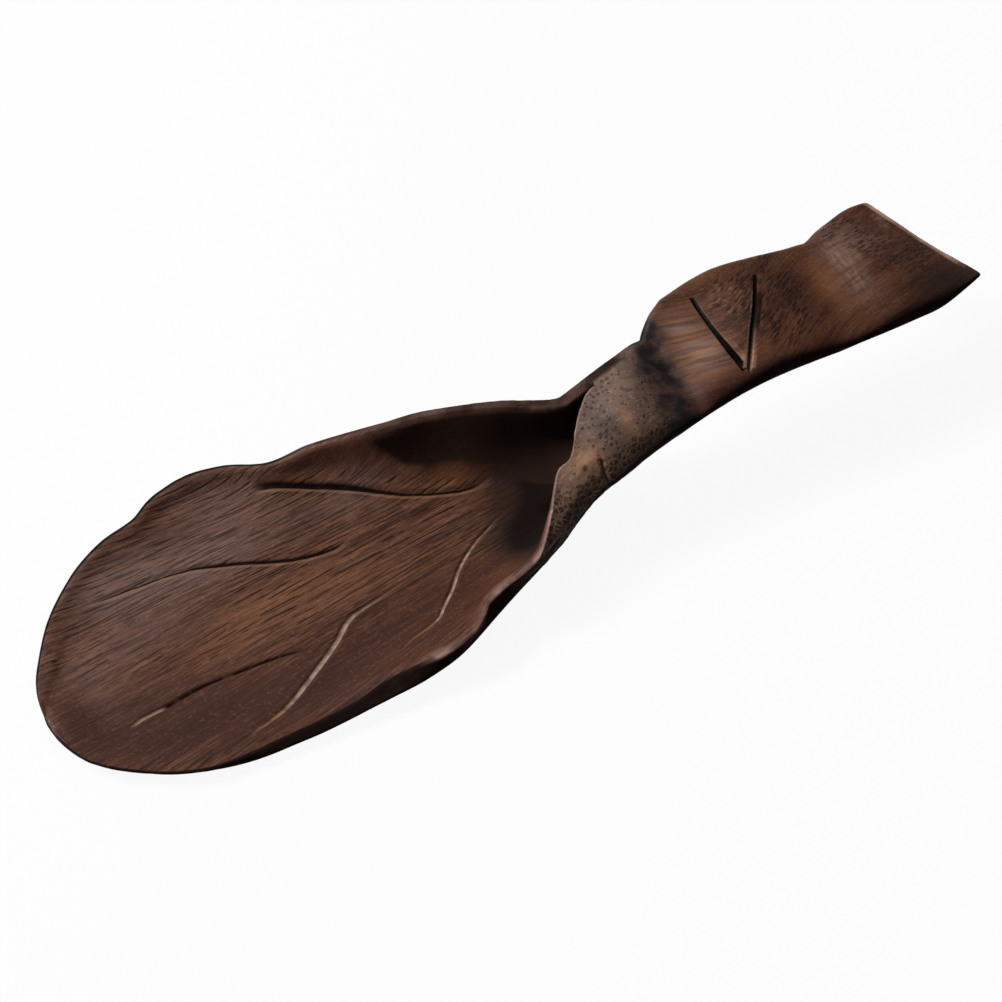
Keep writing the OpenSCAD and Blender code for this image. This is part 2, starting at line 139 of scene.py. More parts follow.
# Where along the bowl, the neck and the handle one form turns into the next
CROWN_PART = (0.54, 0.62)
NECK_BLEND, LIP_TURN, ROOF = (-0.31, 0.46), (-0.54, 0.08), (-0.46, 0)
HOLLOW_END, LIP_MERGE = 0.04, 0.19
RIM_WIDEN, EDGE = (-0.27, 0.23), (0.6, 1.05)
HANDLE_BLEND, CUT_START = (-0.07, 0.26), 0.36


# The three zones: where each starts, its length, width and height
ZONES = ((MEET_X, NECK_X - MEET_X, BOWL_W, BOWL_H), (NECK_X, NECK_L, NECK_W, NECK_H),
         (HANDLE_X, HANDLE_L, HANDLE_W, HANDLE_H))
# Additions that keep a zero out of a division
LEAST_RUN, TINY = 1e-6, 1e-9


def mix(a, b, k):
    return a * (1 - k) + b * k


def clamp(u):
    return np.clip(u, 0, 1)


def ease(u):
    c = clamp(u)
    return c * c * (3 - 2 * c)


def ramp(x, origin, length, shares):
    """Eased 0 to 1 between two places, given as shares of a length that starts at origin."""
    return ease((x - origin - length * shares[0]) / (length * (shares[1] - shares[0])))


def on_neck(x, shares):
    """Eased 0 to 1 between two shares of the neck's length."""
    return ramp(x, NECK_X, NECK_L, shares)


def zone_points(rows):
    """Rows of the three zones as one list of points along, across and up."""
    return np.array([[start + length * along, width / 2 * across, height * up]
                     for (start, length, width, height), zone in zip(ZONES, rows)
                     for along, across, up in zone])


def phase(x):
    """Angle of a place along the length, in which the rounded tip is a straight run."""
    part = np.maximum(0, np.asarray(x) - MEET_X) / (END_X - MEET_X)
    return np.arccos(np.clip(1 - (1 - math.cos(STATION_SWEEP)) * part, -1, 1))


def cubic(a, b, slope_a, slope_b, h, u):
    """Cubic through two values with given slopes, h apart."""
    return (a * (1 - 3 * u * u + 2 * u ** 3) + b * (3 * u * u - 2 * u ** 3)
            + (slope_a * (u - 2 * u * u + u ** 3) + slope_b * (u ** 3 - u * u)) * h)


def neighbours(count):
    """Places before and after each place of a row, which stop at its ends."""
    at = np.arange(count)
    return np.maximum(at - 1, 0), np.minimum(at + 1, count - 1)


def on_guide(rows, x):
    """Across and up of a guide curve at the stations."""
    points = zone_points(rows)
    t, v = phase(points[:, 0]), points[:, 1:]
    before, after = neighbours(len(t))
    slopes = (v[after] - v[before]) / (t[after] - t[before])[:, None]
    at = phase(x)
    i = np.clip(np.searchsorted(t, at, side="right") - 1, 0, len(t) - 2)
    h = (t[i + 1] - t[i])[:, None]
    u = clamp((at - t[i])[:, None] / h)
    return cubic(v[i], v[i + 1], slopes[i], slopes[i + 1], h, u)


def through(corners, counts):
    """Smooth curves through the corners of every section, with so many steps a side."""
    run = np.sqrt(np.linalg.norm(np.diff(corners, axis=1), axis=2)) + LEAST_RUN
    t = np.concatenate([np.zeros((len(run), 1)), np.cumsum(run, axis=1)], axis=1)
    before, after = neighbours(t.shape[1])
    slopes = (corners[:, after] - corners[:, before]) / (t[:, after] - t[:, before])[:, :, None]
    sides = []
    for i, count in enumerate(counts):
        is_last = i == len(counts) - 1
        u = (np.arange(count + is_last) / count)[None, :, None]
        h = run[:, i][:, None, None]
        sides.append(cubic(corners[:, i, None], corners[:, i + 1, None],
                           slopes[:, i, None], slopes[:, i + 1, None], h, u))
    return np.concatenate(sides, axis=1)


def pair(across, up):
    return np.stack([across, up], axis=-1)


def outer_corners(x):
    """Corners of the outside, from the near lip round the underside to the far rim."""
    far, flank, under = on_guide(FAR, x), on_guide(FLANK, x), on_guide(UNDER, x)
    n_blend = on_neck(x, NECK_BLEND)
    h_blend = ramp(x, HANDLE_X, HANDLE_L, HANDLE_BLEND)

    def zoned(values):
        return mix(mix(values[0], values[1], n_blend), values[2], h_blend)

    spread = clamp((far[:, 0] - flank[:, 0]) / (2 * TIP_ROOM))
    flat_w = mix(SEAM_W, EDGE_W, on_neck(x, EDGE))
    seam = far + pair(-flat_w, np.full(len(x), SEAM_STEP))
    lip_merge = ease(1 - (SEAM_X - x) / (NECK_L * LIP_MERGE))[:, None]
    lip = np.where((x < SEAM_X)[:, None], mix(on_guide(LIP, x), seam, lip_merge), seam)
    edge = mix(lip, flank, 0.5) - np.array([EDGE_BULGE, 0])
    part_from, part_to = CROWN_PART
    parted = clamp((x - TIP_X - BOWL_L * part_from) / (BOWL_L * (part_to - part_from)))[:, None]
    crown = mix(edge, on_guide(CROWN, x), parted)
    shoulder = pair(mix(flank[:, 0], crown[:, 0], SHOULDER[0]),
                    mix(flank[:, 1], crown[:, 1], SHOULDER[1]))
    tilt = (far[:, 1] - flank[:, 1]) * UNDER_TILT * h_blend
    far_under = pair(mix(flank[:, 0], far[:, 0], zoned(UNDER_FAR)), under[:, 1] + tilt)
    far_flank = pair(far[:, 0] + zoned([-FAR_TUCK * spread, FAR_SWELL, -HANDLE_TUCK]),
                     mix(far_under[:, 1], far[:, 1], FAR_FLANK))
    return np.stack([lip, crown, shoulder, flank, under, far_under, far_flank, far], axis=1), spread


def wall_height(z):
    """Eased 0 to 1 from a low to a high wall."""
    low, high = WALL_HEIGHT
    return ease((z / BOWL_H - low) / (high - low))


def inner_corners(x, outer, spread):
    """Corners of the hollow, from the near lip over the floor to the far rim."""
    lip, crown, flank = outer[:, 0], outer[:, 1], outer[:, 3]
    near_under, far_under, far_flank, far = outer[:, 4], outer[:, 5], outer[:, 6], outer[:, 7]
    turn = math.pi / 2 * on_neck(x, LIP_TURN)
    near_rim = lip + pair(np.cos(turn), -np.sin(turn)) * (LIP_T * spread)[:, None]
    floor_t = PLATE_T * mix(TIP_FLOOR, 1, spread)
    floor_z = np.maximum(0, near_under[:, 1]) + floor_t
    far_floor_z = np.maximum(0, far_under[:, 1]) + floor_t
    near_floor = pair(near_under[:, 0] + FLOOR_INSET * spread, floor_z)
    far_floor = pair(far_under[:, 0] - FLOOR_INSET * spread, far_floor_z)
    foot_run = (PLATE_T + mix(LOW_FOOT, HIGH_FOOT, wall_height(lip[:, 1]))) * spread
    foot_y = np.minimum(flank[:, 0] + foot_run, mix(flank[:, 0], near_floor[:, 0], FOOT_CAP))
    foot = pair(foot_y, mix(floor_z, lip[:, 1], FOOT))
    roof = crown + np.array(ROOF_INNER) * PLATE_T
    wall = mix(mix(near_rim, foot, FOOT), roof, on_neck(x, ROOF)[:, None])
    far_rise = PLATE_T * mix(*FAR_RISE, wall_height(far[:, 1]))
    far_y = np.maximum(far_flank[:, 0] - FAR_INSET * PLATE_T * spread,
                       mix(far_floor[:, 0], far[:, 0], FAR_CAP[0]))
    far_z = np.minimum(far_flank[:, 1] + far_rise, mix(far_floor_z, far[:, 1], FAR_CAP[1]))
    far_wall = pair(far_y, far_z)
    rim_in = mix(RIM_W, SEAM_W * FAR_INSET, on_neck(x, RIM_WIDEN))
    far_rim = far - pair(rim_in * spread, np.zeros(len(x)))
    hollow_x = NECK_X + NECK_L * HOLLOW_END
    closing = clamp((x - hollow_x) / (SEAM_X - hollow_x))
    shut = (1 - np.sqrt(1 - closing ** 2))[:, None]
    goal = mix(near_rim, far_rim, 0.5) - np.array([0, SLIT_DEPTH])
    between = [mix(p, goal, shut)
               for p in (wall, foot, near_floor, mix(near_floor, far_floor, 0.5), far_floor, far_wall)]
    return np.stack([near_rim] + between + [far_rim], axis=1)


def bridge(a, b, count):
    """Points strictly between a and b."""
    u = (np.arange(1, count + 1) / (count + 1))[None, :, None]
    return a[:, None] * (1 - u) + b[:, None] * u


def rounded(loops, sigma):
    """Closed sections with their corners softened over a length sigma."""
    out = np.empty_like(loops)
    for i, p in enumerate(loops):
        step = np.linalg.norm(np.roll(p, -1, axis=0) - p, axis=1)
        s = np.concatenate([[0], np.cumsum(step)[:-1]])
        d = np.abs(s[:, None] - s[None, :])
        d = np.minimum(d, step.sum() - d)
        w = np.exp(-d * d / (2 * sigma * sigma)) * ((step + np.roll(step, 1)) / 2)[None, :]
        out[i] = (w @ p) / w.sum(axis=1, keepdims=True)
    return out


def inwards(loops, depth):
    """Closed sections drawn in by a depth at each station."""
    along = np.roll(loops, -1, axis=1) - np.roll(loops, 1, axis=1)
    along /= np.linalg.norm(along, axis=2, keepdims=True) + TINY
    normal = np.stack([-along[:, :, 1], along[:, :, 0]], axis=-1)
    return loops + normal * depth[:, None, None]


# How far apart the stations are, up to each place: fine at the V
STATION_STEPS = ((NECK_X + 6, 0.34), (37, 0.42), (53, 0.21), (END_X, 0.6))
# They are finer still by the blunt tip and the end: the least step, and its growth away from each
LEAST_STEP, TIP_GROWTH, END_GROWTH = 0.05, 0.16, 0.25
# A station this near the end is the last one
LAST_GAP = 0.02
# Rounding of the tip and of the end, and how much of it draws their outlines in
EDGE_R, TIP_DRAW, END_DRAW = 0.4, 0.6, 0.8
# The corners are softened over this length, which draws the outline in, and so it is shifted out
SOFT_LEN, SWELL = 0.25, 0.12
# Steps between the corners of a section, outside, inside and across a rim
OUTER_STEPS = (24, 20, 8, 6, 9, 8, 8)
INNER_STEPS = (4, 5, 18, 54, 54, 22, 6)
RIM_STEPS = 4


def next_station(x):
    step = next(step for up_to, step in STATION_STEPS if x < up_to)
    step = min(step, LEAST_STEP + TIP_GROWTH * (x - TIP_X), LEAST_STEP + END_GROWTH * (END_X - x))
    return min(x + step, END_X)


x_list = [TIP_X]
while x_list[-1] < END_X - LAST_GAP:
    x_list.append(next_station(x_list[-1]))
stations = np.array(x_list)
seam_i = int(np.searchsorted(stations, SEAM_X))
stations[seam_i] = SEAM_X

corners, spread = outer_corners(stations)
outer = through(corners, OUTER_STEPS)
inner = through(inner_corners(stations[:seam_i], corners[:seam_i], spread[:seam_i]), INNER_STEPS)
outer_n, inner_n = outer.shape[1], inner.shape[1]
inner_from = outer_n + RIM_STEPS
inner_to = inner_from + inner_n

# Closed sections: the bowl's go round the outside, over the far rim, back through the hollow
# and over the near rim; the handle's go round the outside and back over the top
open_loops = np.concatenate([
    outer[:seam_i],
    bridge(outer[:seam_i, -1], inner[:, -1], RIM_STEPS),
    inner[:, ::-1],
    bridge(inner[:, 0], outer[:seam_i, 0], RIM_STEPS)], axis=1)
shut_loops = np.concatenate([
    outer[seam_i - 1:],
    bridge(outer[seam_i - 1:, -1], outer[seam_i - 1:, 0], RIM_STEPS)], axis=1)


def end_draw(from_edge, share):
    """How far the sections are drawn in, at their distances from an end, to round its edge."""
    return EDGE_R * (1 - np.sqrt(1 - clamp(1 - from_edge / EDGE_R) ** 2)) * share


draw = end_draw(stations - TIP_X, TIP_DRAW) + end_draw(END_X - stations, END_DRAW)
open_loops = inwards(rounded(open_loops, SOFT_LEN), draw[:seam_i] - SWELL)
shut_loops = inwards(rounded(shut_loops, SOFT_LEN), draw[seam_i - 1:] - SWELL)
# Both kinds meet in the station before the seam, where they share the outside
shut_loops[0, :outer_n] = open_loops[-1, :outer_n]


def in_space(x, points):
    """Sections in space, with the slanted end."""
    near_y, far_y = on_guide(FLANK, np.array([END_X]))[0, 0], on_guide(FAR, np.array([END_X]))[0, 0]
    lean = clamp((x - HANDLE_X - HANDLE_L * CUT_START) / (HANDLE_L * (1 - CUT_START)))
    back = lean[:, None] ** 2 * END_CUT * np.maximum(0, points[:, :, 0] - near_y) / (far_y - near_y)
    return np.stack([x[:, None] - back, points[:, :, 0], np.maximum(0, points[:, :, 1])], axis=-1)


open_grid = in_space(stations[:seam_i], open_loops)
shut_grid = in_space(stations[seam_i - 1:], shut_loops)

# The incised veins: points of a smooth line in plan, half width and depth
VEINS = {
    "far_vein": ([(-37.6, 21.9), (-34.6, 20.7), (-30, 18.2), (-23.5, 14.5), (-16, 9.2),
                  (-10, 6.1), (-5.1, 4.5), (-1, 4.3)], 0.5, 0.55),
    "long_vein": ([(-73.5, 13.7), (-64.5, 13.5), (-55.6, 12.8), (-47.8, 10.1), (-39, 5.8),
                   (-32.2, 4.3), (-28, 5.1)], 0.42, 0.45),
    "short_vein": ([(-78.3, -12.9), (-75.2, -12.1), (-70.5, -11.8), (-64.7, -11.1), (-57.7, -11.4),
                    (-50.7, -12), (-44, -13.6)], 0.34, 0.34),
    "broad_vein": ([(-26.5, -8.8), (-32.8, -9.8), (-37.2, -10.9), (-41.9, -14.4), (-49, -18.8),
                    (-54.3, -21.7), (-58.6, -23.1), (-64, -24)], 0.42, 0.32),
    "near_vein": ([(-3.1, -3.5), (-7.8, -5.4), (-11.6, -7.2), (-16, -10.3), (-19.3, -13.6),
                   (-23, -16.9), (-24.7, -18.5), (-27, -19.5), (-31.4, -20.6), (-34.8, -22.2)],
                  0.34, 0.28),
}
# Height of the soft swelling beside a vein
VEIN_SWELL = 0.07
# The V on the handle: points along and across, with the share of the full depth at each
V_DEPTH, V_HALF_W = 1.1, 0.52
V_CUTS = {
    "left_cut": [(39.3, 6.1, 0.1), (38.95, 2.6, 0.4), (38.8, -1.4, 0.5), (38.9, -5.2, 0.8),
                 (39.1, -8.4, 1), (39.3, -10.7, 0.3)],
    "right_cut": [(52, 5.3, 0.1), (49.15, 1.15, 0.6), (46.5, -2.45, 0.7), (44.15, -5.3, 0.75),
                  (41.9, -8.3, 0.8), (39.9, -10.9, 0.6)],
}
# The crease where the rolled lip ends, and the knuckle beside it
FOLD, FOLD_PUSH, FOLD_W = [(9.7, -12.2), (9.4, -13.4), (9.2, -14.8), (9.3, -16)], 0.3, 0.3
KNUCKLE_X, KNUCKLE_Y, KNUCKLE_RISE = 7.4, -12.4, 0.25
# The sharp fold of the first valley on the handle's top: where it runs, by the place across
VALLEY_Y, VALLEY_X = [-9.2, -4.8, -1, 3.3, 8], [29.8, 28.9, 28.4, 28.6, 29.2]
VALLEY_DEPTH, VALLEY_W = 0.4, 1.5
# Height of the dents of the porous neck, of the knife's facets and of the fibres' ripple
DENT, FACET, RIPPLE = 0.05, 0.05, 0.02
# The handle's crest is carved this much lower than the solid's
CREST_CUT = 0.12
# The border of the painted shade and the scorch in the deep of the throat on the hollow's floor, in
# plan
THROAT_EDGE = [(3.6, 5.5), (2.2, 2), (0.6, -1), (-2, -4.4), (-5, -6.9), (-6.9, -9.3),
               (-7, -11.9), (-5.2, -14.2), (-5.4, -17), (-7.5, -21.5)]
# The lower border of the dark far wall, in plan, and the gap that it leaves to the rim
WALL_X = [-20, -18, -16, -14.5, -13, -9.5, -6.4, -2.2, 1.4, 4.1, 8]
WALL_Y = [19, 17.6, 15.5, 14, 12.2, 10.2, 8.9, 6.1, 3.9, 1.9, -1]
RIM_GAP_X, RIM_GAP = [-19, -14, -10, 10], [1.6, 0.9, 0.5, 0.5]

# Where the fibres of the bowl run together, far beyond the handle, and their reach there
FIBRE_X, FIBRE_Y, FIBRE_REACH = 207, 25, 230
# On the handle the fibres wave: the slope of their line at some places along it
WAVE_X = [2.5, 28, 35, 40, 44, 50, 57, 63, 68, 75, 89]
WAVE_SLOPES = [0.1, -0.1, -0.42, -0.2, 0.3, 0.62, 0.6, 0.25, 0.05, 0.3, 0.35]
WAVE_STEPS = 200
# Shifts that keep the handle's fibre noise apart from the bowl's
HANDLE_SHIFT_X, HANDLE_SHIFT_Y = 210, 20
# Share of the wear and painted highlight that the far rim gets, and how many steps the lip's wear and
# painted highlight go down outside
FAR_WEAR_AND_HIGHLIGHT, LIP_WEAR_AND_HIGHLIGHT_STEPS = 0.25, 12

# Soft regions of tone, in plan: x, y, two radii, strength
SPOTS = {
    # Grey tone, partly a painted sheen where the bowl's upper left and the neck reflect the lamps
    "grey": [(-66, 15, 10, 7, 1), (-44, 21, 9, 7, 0.7), (-52, 12, 12, 5, 0.75), (-80, -2, 6, 9, 0.5),
             (-66, 3, 9, 4, 0.5), (-24, 13, 7, 4, 0.5), (13, -8, 4.5, 4.5, 0.9), (14, -2, 5, 4, 0.6),
             (27, 0, 4, 14, 0.9), (71, 6, 5, 5, 0.5)],
    # Red tone, partly painted shade: the handle's slope beyond the V at (54, 1) and its end at (84, 0),
    # which face away from the key lamp
    "red": [(-72, -14, 15, 9, 1), (-48, -21, 18, 8, 1), (-84, -6, 5, 8, 0.8), (-60, 2, 8, 5, 0.4),
            (84, 0, 8, 12, 0.7), (54, 1, 8, 9, 0.6), (45, 8, 10, 3, 0.6), (-25, -16, 12, 7, 0.7),
            (16, -13, 7, 2.5, 0.6), (-14, -14, 8, 7, 0.6), (34.5, -11.4, 6, 1.6, 1)],
    # Gold tone, partly painted light: the handle's lit rising slope at (62.6, -1) and the lit knuckle
    # at (7.2, -12.2)
    "gold": [(62.6, -1, 2.4, 5.5, 1), (-47, -1.5, 10, 4, 0.8), (-58, -5, 8, 3.5, 0.6),
             (-30, -4, 12, 5, 0.4), (43.5, -8, 2, 2, 0.5), (-9, -17, 4, 2, 0.5), (-8, 7.6, 5, 1.6, 0.8),
             (16.9, -9.5, 1.2, 2.2, 0.8), (7.2, -12.2, 2.6, 2.3, 1.2), (44, 8.5, 9, 1.6, 0.7)],
    # Dark spots, partly painted shade: the slope beyond the V at (55, 2) and the handle end's near edge
    # at (82, -9.5), which face away from the key lamp
    "dark": [(-82.5, 8.5, 1, 0.7, 0.8), (55, 2, 3.5, 8, 0.25), (13.2, -9, 1.6, 2.6, 0.45),
             (22.5, -4, 2, 6, 0.35), (82, -9.5, 8, 3.2, 0.95),
             (6.4, -12.9, 0.5, 0.42, 1.6), (6.9, -14.5, 0.5, 0.42, 1.6)],
    # Painted sheen and highlight on the lit lobe left of the V and on the third crest, which is also
    # scratched, and pale chips at the handle's far corner
    "pale": [(34.3, 1.5, 3.2, 3.4, 0.9), (35.2, -4.8, 3.6, 3.6, 1), (68, 3.5, 3, 4, 0.85),
             (67, -3.5, 2.6, 5, 0.7), (80.2, 8.2, 0.9, 1.2, 1), (79.9, 5.9, 0.7, 0.8, 0.8)],
    # Short dark dashes crowd inside the V, right of it, and beyond the third crest
    "dashes": [(45, 2, 4.5, 5.5, 1), (53.5, 2.5, 4.5, 8.5, 1), (50, -7, 6, 4, 0.7),
               (37, 9, 6, 2.5, 0.5), (73, 6, 3.5, 7, 0.9), (80, -2, 5, 7, 0.6), (69, 9, 4, 2, 0.8)],
    "flecks": [(45, 1, 4, 5, 1), (75, 1, 3, 6, 0.5), (69.5, 6, 2, 4, 0.6)],
}

# Points to each side of a smooth line, and how many of its steps it runs on past its ends
LINE_STEPS, RUN_ON = 14, 60


def smooth_line(points):
    """A smooth line through the points, by Catmull and Rom's rule."""
    p = np.array(points, float)
    ends = np.concatenate([[2 * p[0] - p[1]], p, [2 * p[-1] - p[-2]]])
    u = (np.arange(LINE_STEPS) / LINE_STEPS)[:, None]
    runs = []
    for a, b, c, d in zip(ends, ends[1:], ends[2:], ends[3:]):
        runs.append(0.5 * (2 * b + (c - a) * u + (2 * a - 5 * b + 4 * c - d) * u ** 2
                           + (3 * b - a - 3 * c + d) * u ** 3))
    return np.concatenate(runs + [p[-1:]])


def near_line(points, line):
    """Signed distance in plan from a line that runs on past its ends, and the share along it."""
    flat = line[:, :2]
    first = flat[0] - (flat[1] - flat[0]) * RUN_ON
    last = flat[-1] + (flat[-1] - flat[-2]) * RUN_ON
    sides = len(flat) - 1
    marks = np.array([-RUN_ON, *range(sides + 1), sides + RUN_ON]) / sides
    flat = np.concatenate([[first], flat, [last]])
    best, signed, share = np.full((3, len(points)), np.inf)
    for start, step, low, high in zip(flat, np.diff(flat, axis=0), marks, marks[1:]):
        from_start = points[:, :2] - start
        t = clamp(from_start @ step / (step @ step))
        d = np.hypot(*(from_start - t[:, None] * step).T)
        side = np.sign(step[0] * from_start[:, 1] - step[1] * from_start[:, 0])
        closer = d < best
        best = np.where(closer, d, best)
        signed = np.where(closer, side * d, signed)
        share = np.where(closer, mix(low, high, t), share)
    return signed, share


def hashed(i, j, k):
    """A steady value from 0 to 1 for each cell."""
    h = (i * 374761393 + j * 668265263 + k * 2147483647) & 0xFFFFFFFF
    h = ((h ^ (h >> 13)) * 1274126177) & 0xFFFFFFFF
    return ((h ^ (h >> 16)) & 0xFFFF) / 0xFFFF


def noise(u, v, seed):
    """Smooth noise from -1 to 1 over two coordinates."""
    i, j = np.floor(u).astype(np.int64), np.floor(v).astype(np.int64)
    fu, fv = ease(u - i), ease(v - j)
    a = mix(hashed(i, j, seed), hashed(i + 1, j, seed), fu)
    b = mix(hashed(i, j + 1, seed), hashed(i + 1, j + 1, seed), fu)
    return 2 * mix(a, b, fv) - 1


def rise(value, start, width):
    """Eased 0 to 1 from a start on, over a width."""
    return ease((value - start) / width)


def fall(value, end, width):
    """Eased 1 to 0 over the width before an end."""
    return ease((end - value) / width)


def spot(p, x, y, rx, ry):
    """A soft spot in plan with two radii, 1 at its centre."""
    return np.exp(-((p[:, 0] - x) / rx) ** 2 - ((p[:, 1] - y) / ry) ** 2)


def fibre_coordinates(p):
    """Along, across and depth of the fibres, and how far each point belongs to the handle."""
    x, y, z = p.T
    dx, dy = FIBRE_X - x, FIBRE_Y - y
    bowl = np.stack([-np.hypot(dx, dy), np.arctan2(dy, dx) * FIBRE_REACH, z], axis=1)
    fine = np.linspace(WAVE_X[0], WAVE_X[-1], WAVE_STEPS)
    bend = np.interp(fine, WAVE_X, WAVE_SLOPES)
    line = np.concatenate([[0], np.cumsum((bend[1:] + bend[:-1]) / 2 * np.diff(fine))])
    across = y - np.interp(x, fine, line)
    handle = np.stack([x - HANDLE_SHIFT_X, across - HANDLE_SHIFT_Y, z], axis=1)
    on_handle = rise(x, 2, 14)
    return np.where(on_handle[:, None] > 0.5, handle, bowl), on_handle


def vein_depth(p, inside_up, lines):
    """Depth of the bowl's veins at each point. Adds each vein's own coordinates to lines."""
    down = np.zeros(len(p))
    for name, (points, half, depth) in VEINS.items():
        d, share = near_line(p, smooth_line(points))
        live = clamp(share / 0.12) * clamp((1 - share) / 0.14) * inside_up
        wobble = 0.8 + 0.2 * noise(share * 24, share * 0, 7)
        down += depth * live * wobble * clamp(1 - np.abs(d) / (half * 1.35)) ** 0.8
        down -= VEIN_SWELL * live * np.exp(-((np.abs(d) - half * 2) / (half * 0.8)) ** 2)
        lines[name] = np.stack([d, share, live], axis=1)
    return down


def v_depth(p, top, lines):
    """Depth of the V's cuts at each point. Adds each cut's own coordinates to lines."""
    down = np.zeros(len(p))
    for name, points in V_CUTS.items():
        line = smooth_line(points)
        d, share = near_line(p, line)
        deep = np.interp(share, np.linspace(0, 1, len(line)), line[:, 2]) * top
        # Each end runs out within a fortieth of the line
        deep = deep * clamp(1 + share * 40) * clamp(1 + (1 - share) * 40)
        down += V_DEPTH * deep * clamp(1 - np.abs(d) / (V_HALF_W * (0.5 + 0.5 * deep)))
        lines[name] = np.stack([d, share, deep], axis=1)
    return down


def skin_push(p, outside, fibre, lines):
    """How far each point moves in along its normal: crease, knuckle, dents, facets and ripple."""
    # The crease where the rolled lip ends, on the near side of the neck, and its knuckle
    x, y, z = p.T
    d, share = near_line(p, smooth_line(FOLD))
    near_side = outside * fall(y, -11, 1.6) * rise(z, 9, 4)
    lines["fold"] = np.stack([d, share, near_side], axis=1)
    push = FOLD_PUSH * near_side * np.exp(-(d / FOLD_W) ** 2)
    push -= KNUCKLE_RISE * outside * spot(p, KNUCKLE_X, KNUCKLE_Y, 1.5, 1.6)
    # The neck's skin is dented all over
    porous = outside * rise(x, -12, 8) * fall(x, 27, 4)
    push += DENT * porous * noise(x / 0.9, y / 0.75 + z / 0.9, 11)
    along, across, depth = fibre.T
    push -= FACET * noise(along / 7, across / 4.0 + depth / 4, 3)
    push -= RIPPLE * noise(along / 16, across / 0.75 + depth / 1.1, 5)
    return push - RIPPLE * noise(along / 9, across / 1.7 + depth / 1.7, 6)


def tone_masks(p, up, inside, on_handle):
    """Masks for the material at each point, where up is the upward part of its normal."""
    x, y, z = p.T
    outside = ~inside
    rim_y, rim_z = on_guide(FAR, np.clip(x, TIP_X, END_X)).T
    masks = {name: clamp(sum(place[4] * spot(p, *place[:4]) for place in places))
             for name, places in SPOTS.items()}
    masks["pale"] *= x > 28
    masks["dashes"] *= outside
    masks["flecks"] *= outside
    # The grain fades on the slope beside the throat
    masks["steep"] = inside * fall(up, 0.88, 0.22) * rise(x, -40, 12)
    # Painted shade: the wide dark band in the first valley, with a soft border to the lobe
    ragged = x + 1.0 * noise(y / 2.2, x / 3, 21) + 0.5 * noise(y / 0.8, x, 4)
    masks["band"] = rise(ragged, 22.8 + 0.12 * y, 3) * fall(ragged, 31.8 + 0.1 * y, 2.6) * outside
    # Scorched colour and painted shade: the outside and the undersides, darker where they face down,
    # and also the far wall and the deep of the throat, which the lip shades
    scorch_and_shade_from = np.interp(x, [10, 20, 30, 36, 60, 88], [0.5, 0.62, 0.95, 0.86, 0.87, 0.94])
    under = fall(up, scorch_and_shade_from, np.interp(x, [10, 30, 60], [0.42, 0.38, 0.3]))
    below_rim = ease((rim_z - np.interp(x, RIM_GAP_X, RIM_GAP) - z) / 0.9 + 0.5)
    wall = ease((y - np.interp(x, WALL_X, WALL_Y)) / 1.2 + 0.6) * rise(x, -18.9, 3)
    from_edge, _ = near_line(p, smooth_line(THROAT_EDGE))
    deep = clamp((wall + ease(from_edge / 5 + 0.55)) * below_rim)
    masks["char_and_shade"] = clamp(np.maximum(outside * np.maximum(under, fall(x, -6, 9)), inside * deep))
    # Painted shade: the floor darkens towards the shaded deep of the throat
    masks["painted_throat_shade"] = inside * rise(from_edge, -10, 8) * rise(x, -16, 12)
    # A dark reddish strip stays along the far wall's top and runs out beside the neck
    masks["blush"] = rise(x, -22, 8) * fall(x, 25, 4) * rise(z, rim_z - 0.9, 0.6)
    masks["blush"] *= np.maximum(inside, rise(y, rim_y - 2.6, 1.2))
    # Where the pores crowd into a net: the neck's near side and the roll, but not the knuckle
    masks["net"] = outside * clamp(rise(x, -9, 4) * fall(up, 0.86, 0.14) + fall(x, 2.5, 3))
    masks["net"] *= 1 - spot(p, KNUCKLE_X, KNUCKLE_Y + 0.6, 2, 1.9)
    masks["handle"] = on_handle * outside
    masks["roll"] = outside * rise(x, -16, 10) * rise(up, -0.1, 0.4)
    return masks


def normals(grid):
    around = np.roll(grid, -1, axis=1) - np.roll(grid, 1, axis=1)
    normal = np.cross(around, np.gradient(grid, axis=0)).reshape(-1, 3)
    return normal / (np.linalg.norm(normal, axis=1, keepdims=True) + TINY)


def carve(p, normal, inside):
    """Points moved by the carving, their masks, and their places by each line and the fibres."""
    up, outside = normal[:, 2], ~inside
    fibre, on_handle = fibre_coordinates(p)
    lines = {"fibre": fibre}
    down = vein_depth(p, inside * (up > 0.3), lines)
    down += v_depth(p, (up > 0.05) & outside & (p[:, 0] > 30), lines)
    p = p - normal * skin_push(p, outside, fibre, lines)[:, None]
    from_valley = (p[:, 0] - np.interp(p[:, 1], VALLEY_Y, VALLEY_X)) / VALLEY_W
    down += VALLEY_DEPTH * outside * ease(up / 0.4) * np.exp(-from_valley ** 2)
    p[:, 2] -= down + CREST_CUT * rise(p[:, 2], 20, 3)
    p = np.clip(p, BOX_LOW, BOX_HIGH)
    return p, tone_masks(p, up, inside, on_handle), lines


open_m, shut_m = open_grid.shape[1], shut_grid.shape[1]
# The hollow's part of the open sections goes to the middle of both rims
open_inner = np.zeros(open_m, bool)
open_inner[outer_n + RIM_STEPS // 2:inner_to + RIM_STEPS // 2 + 1] = True
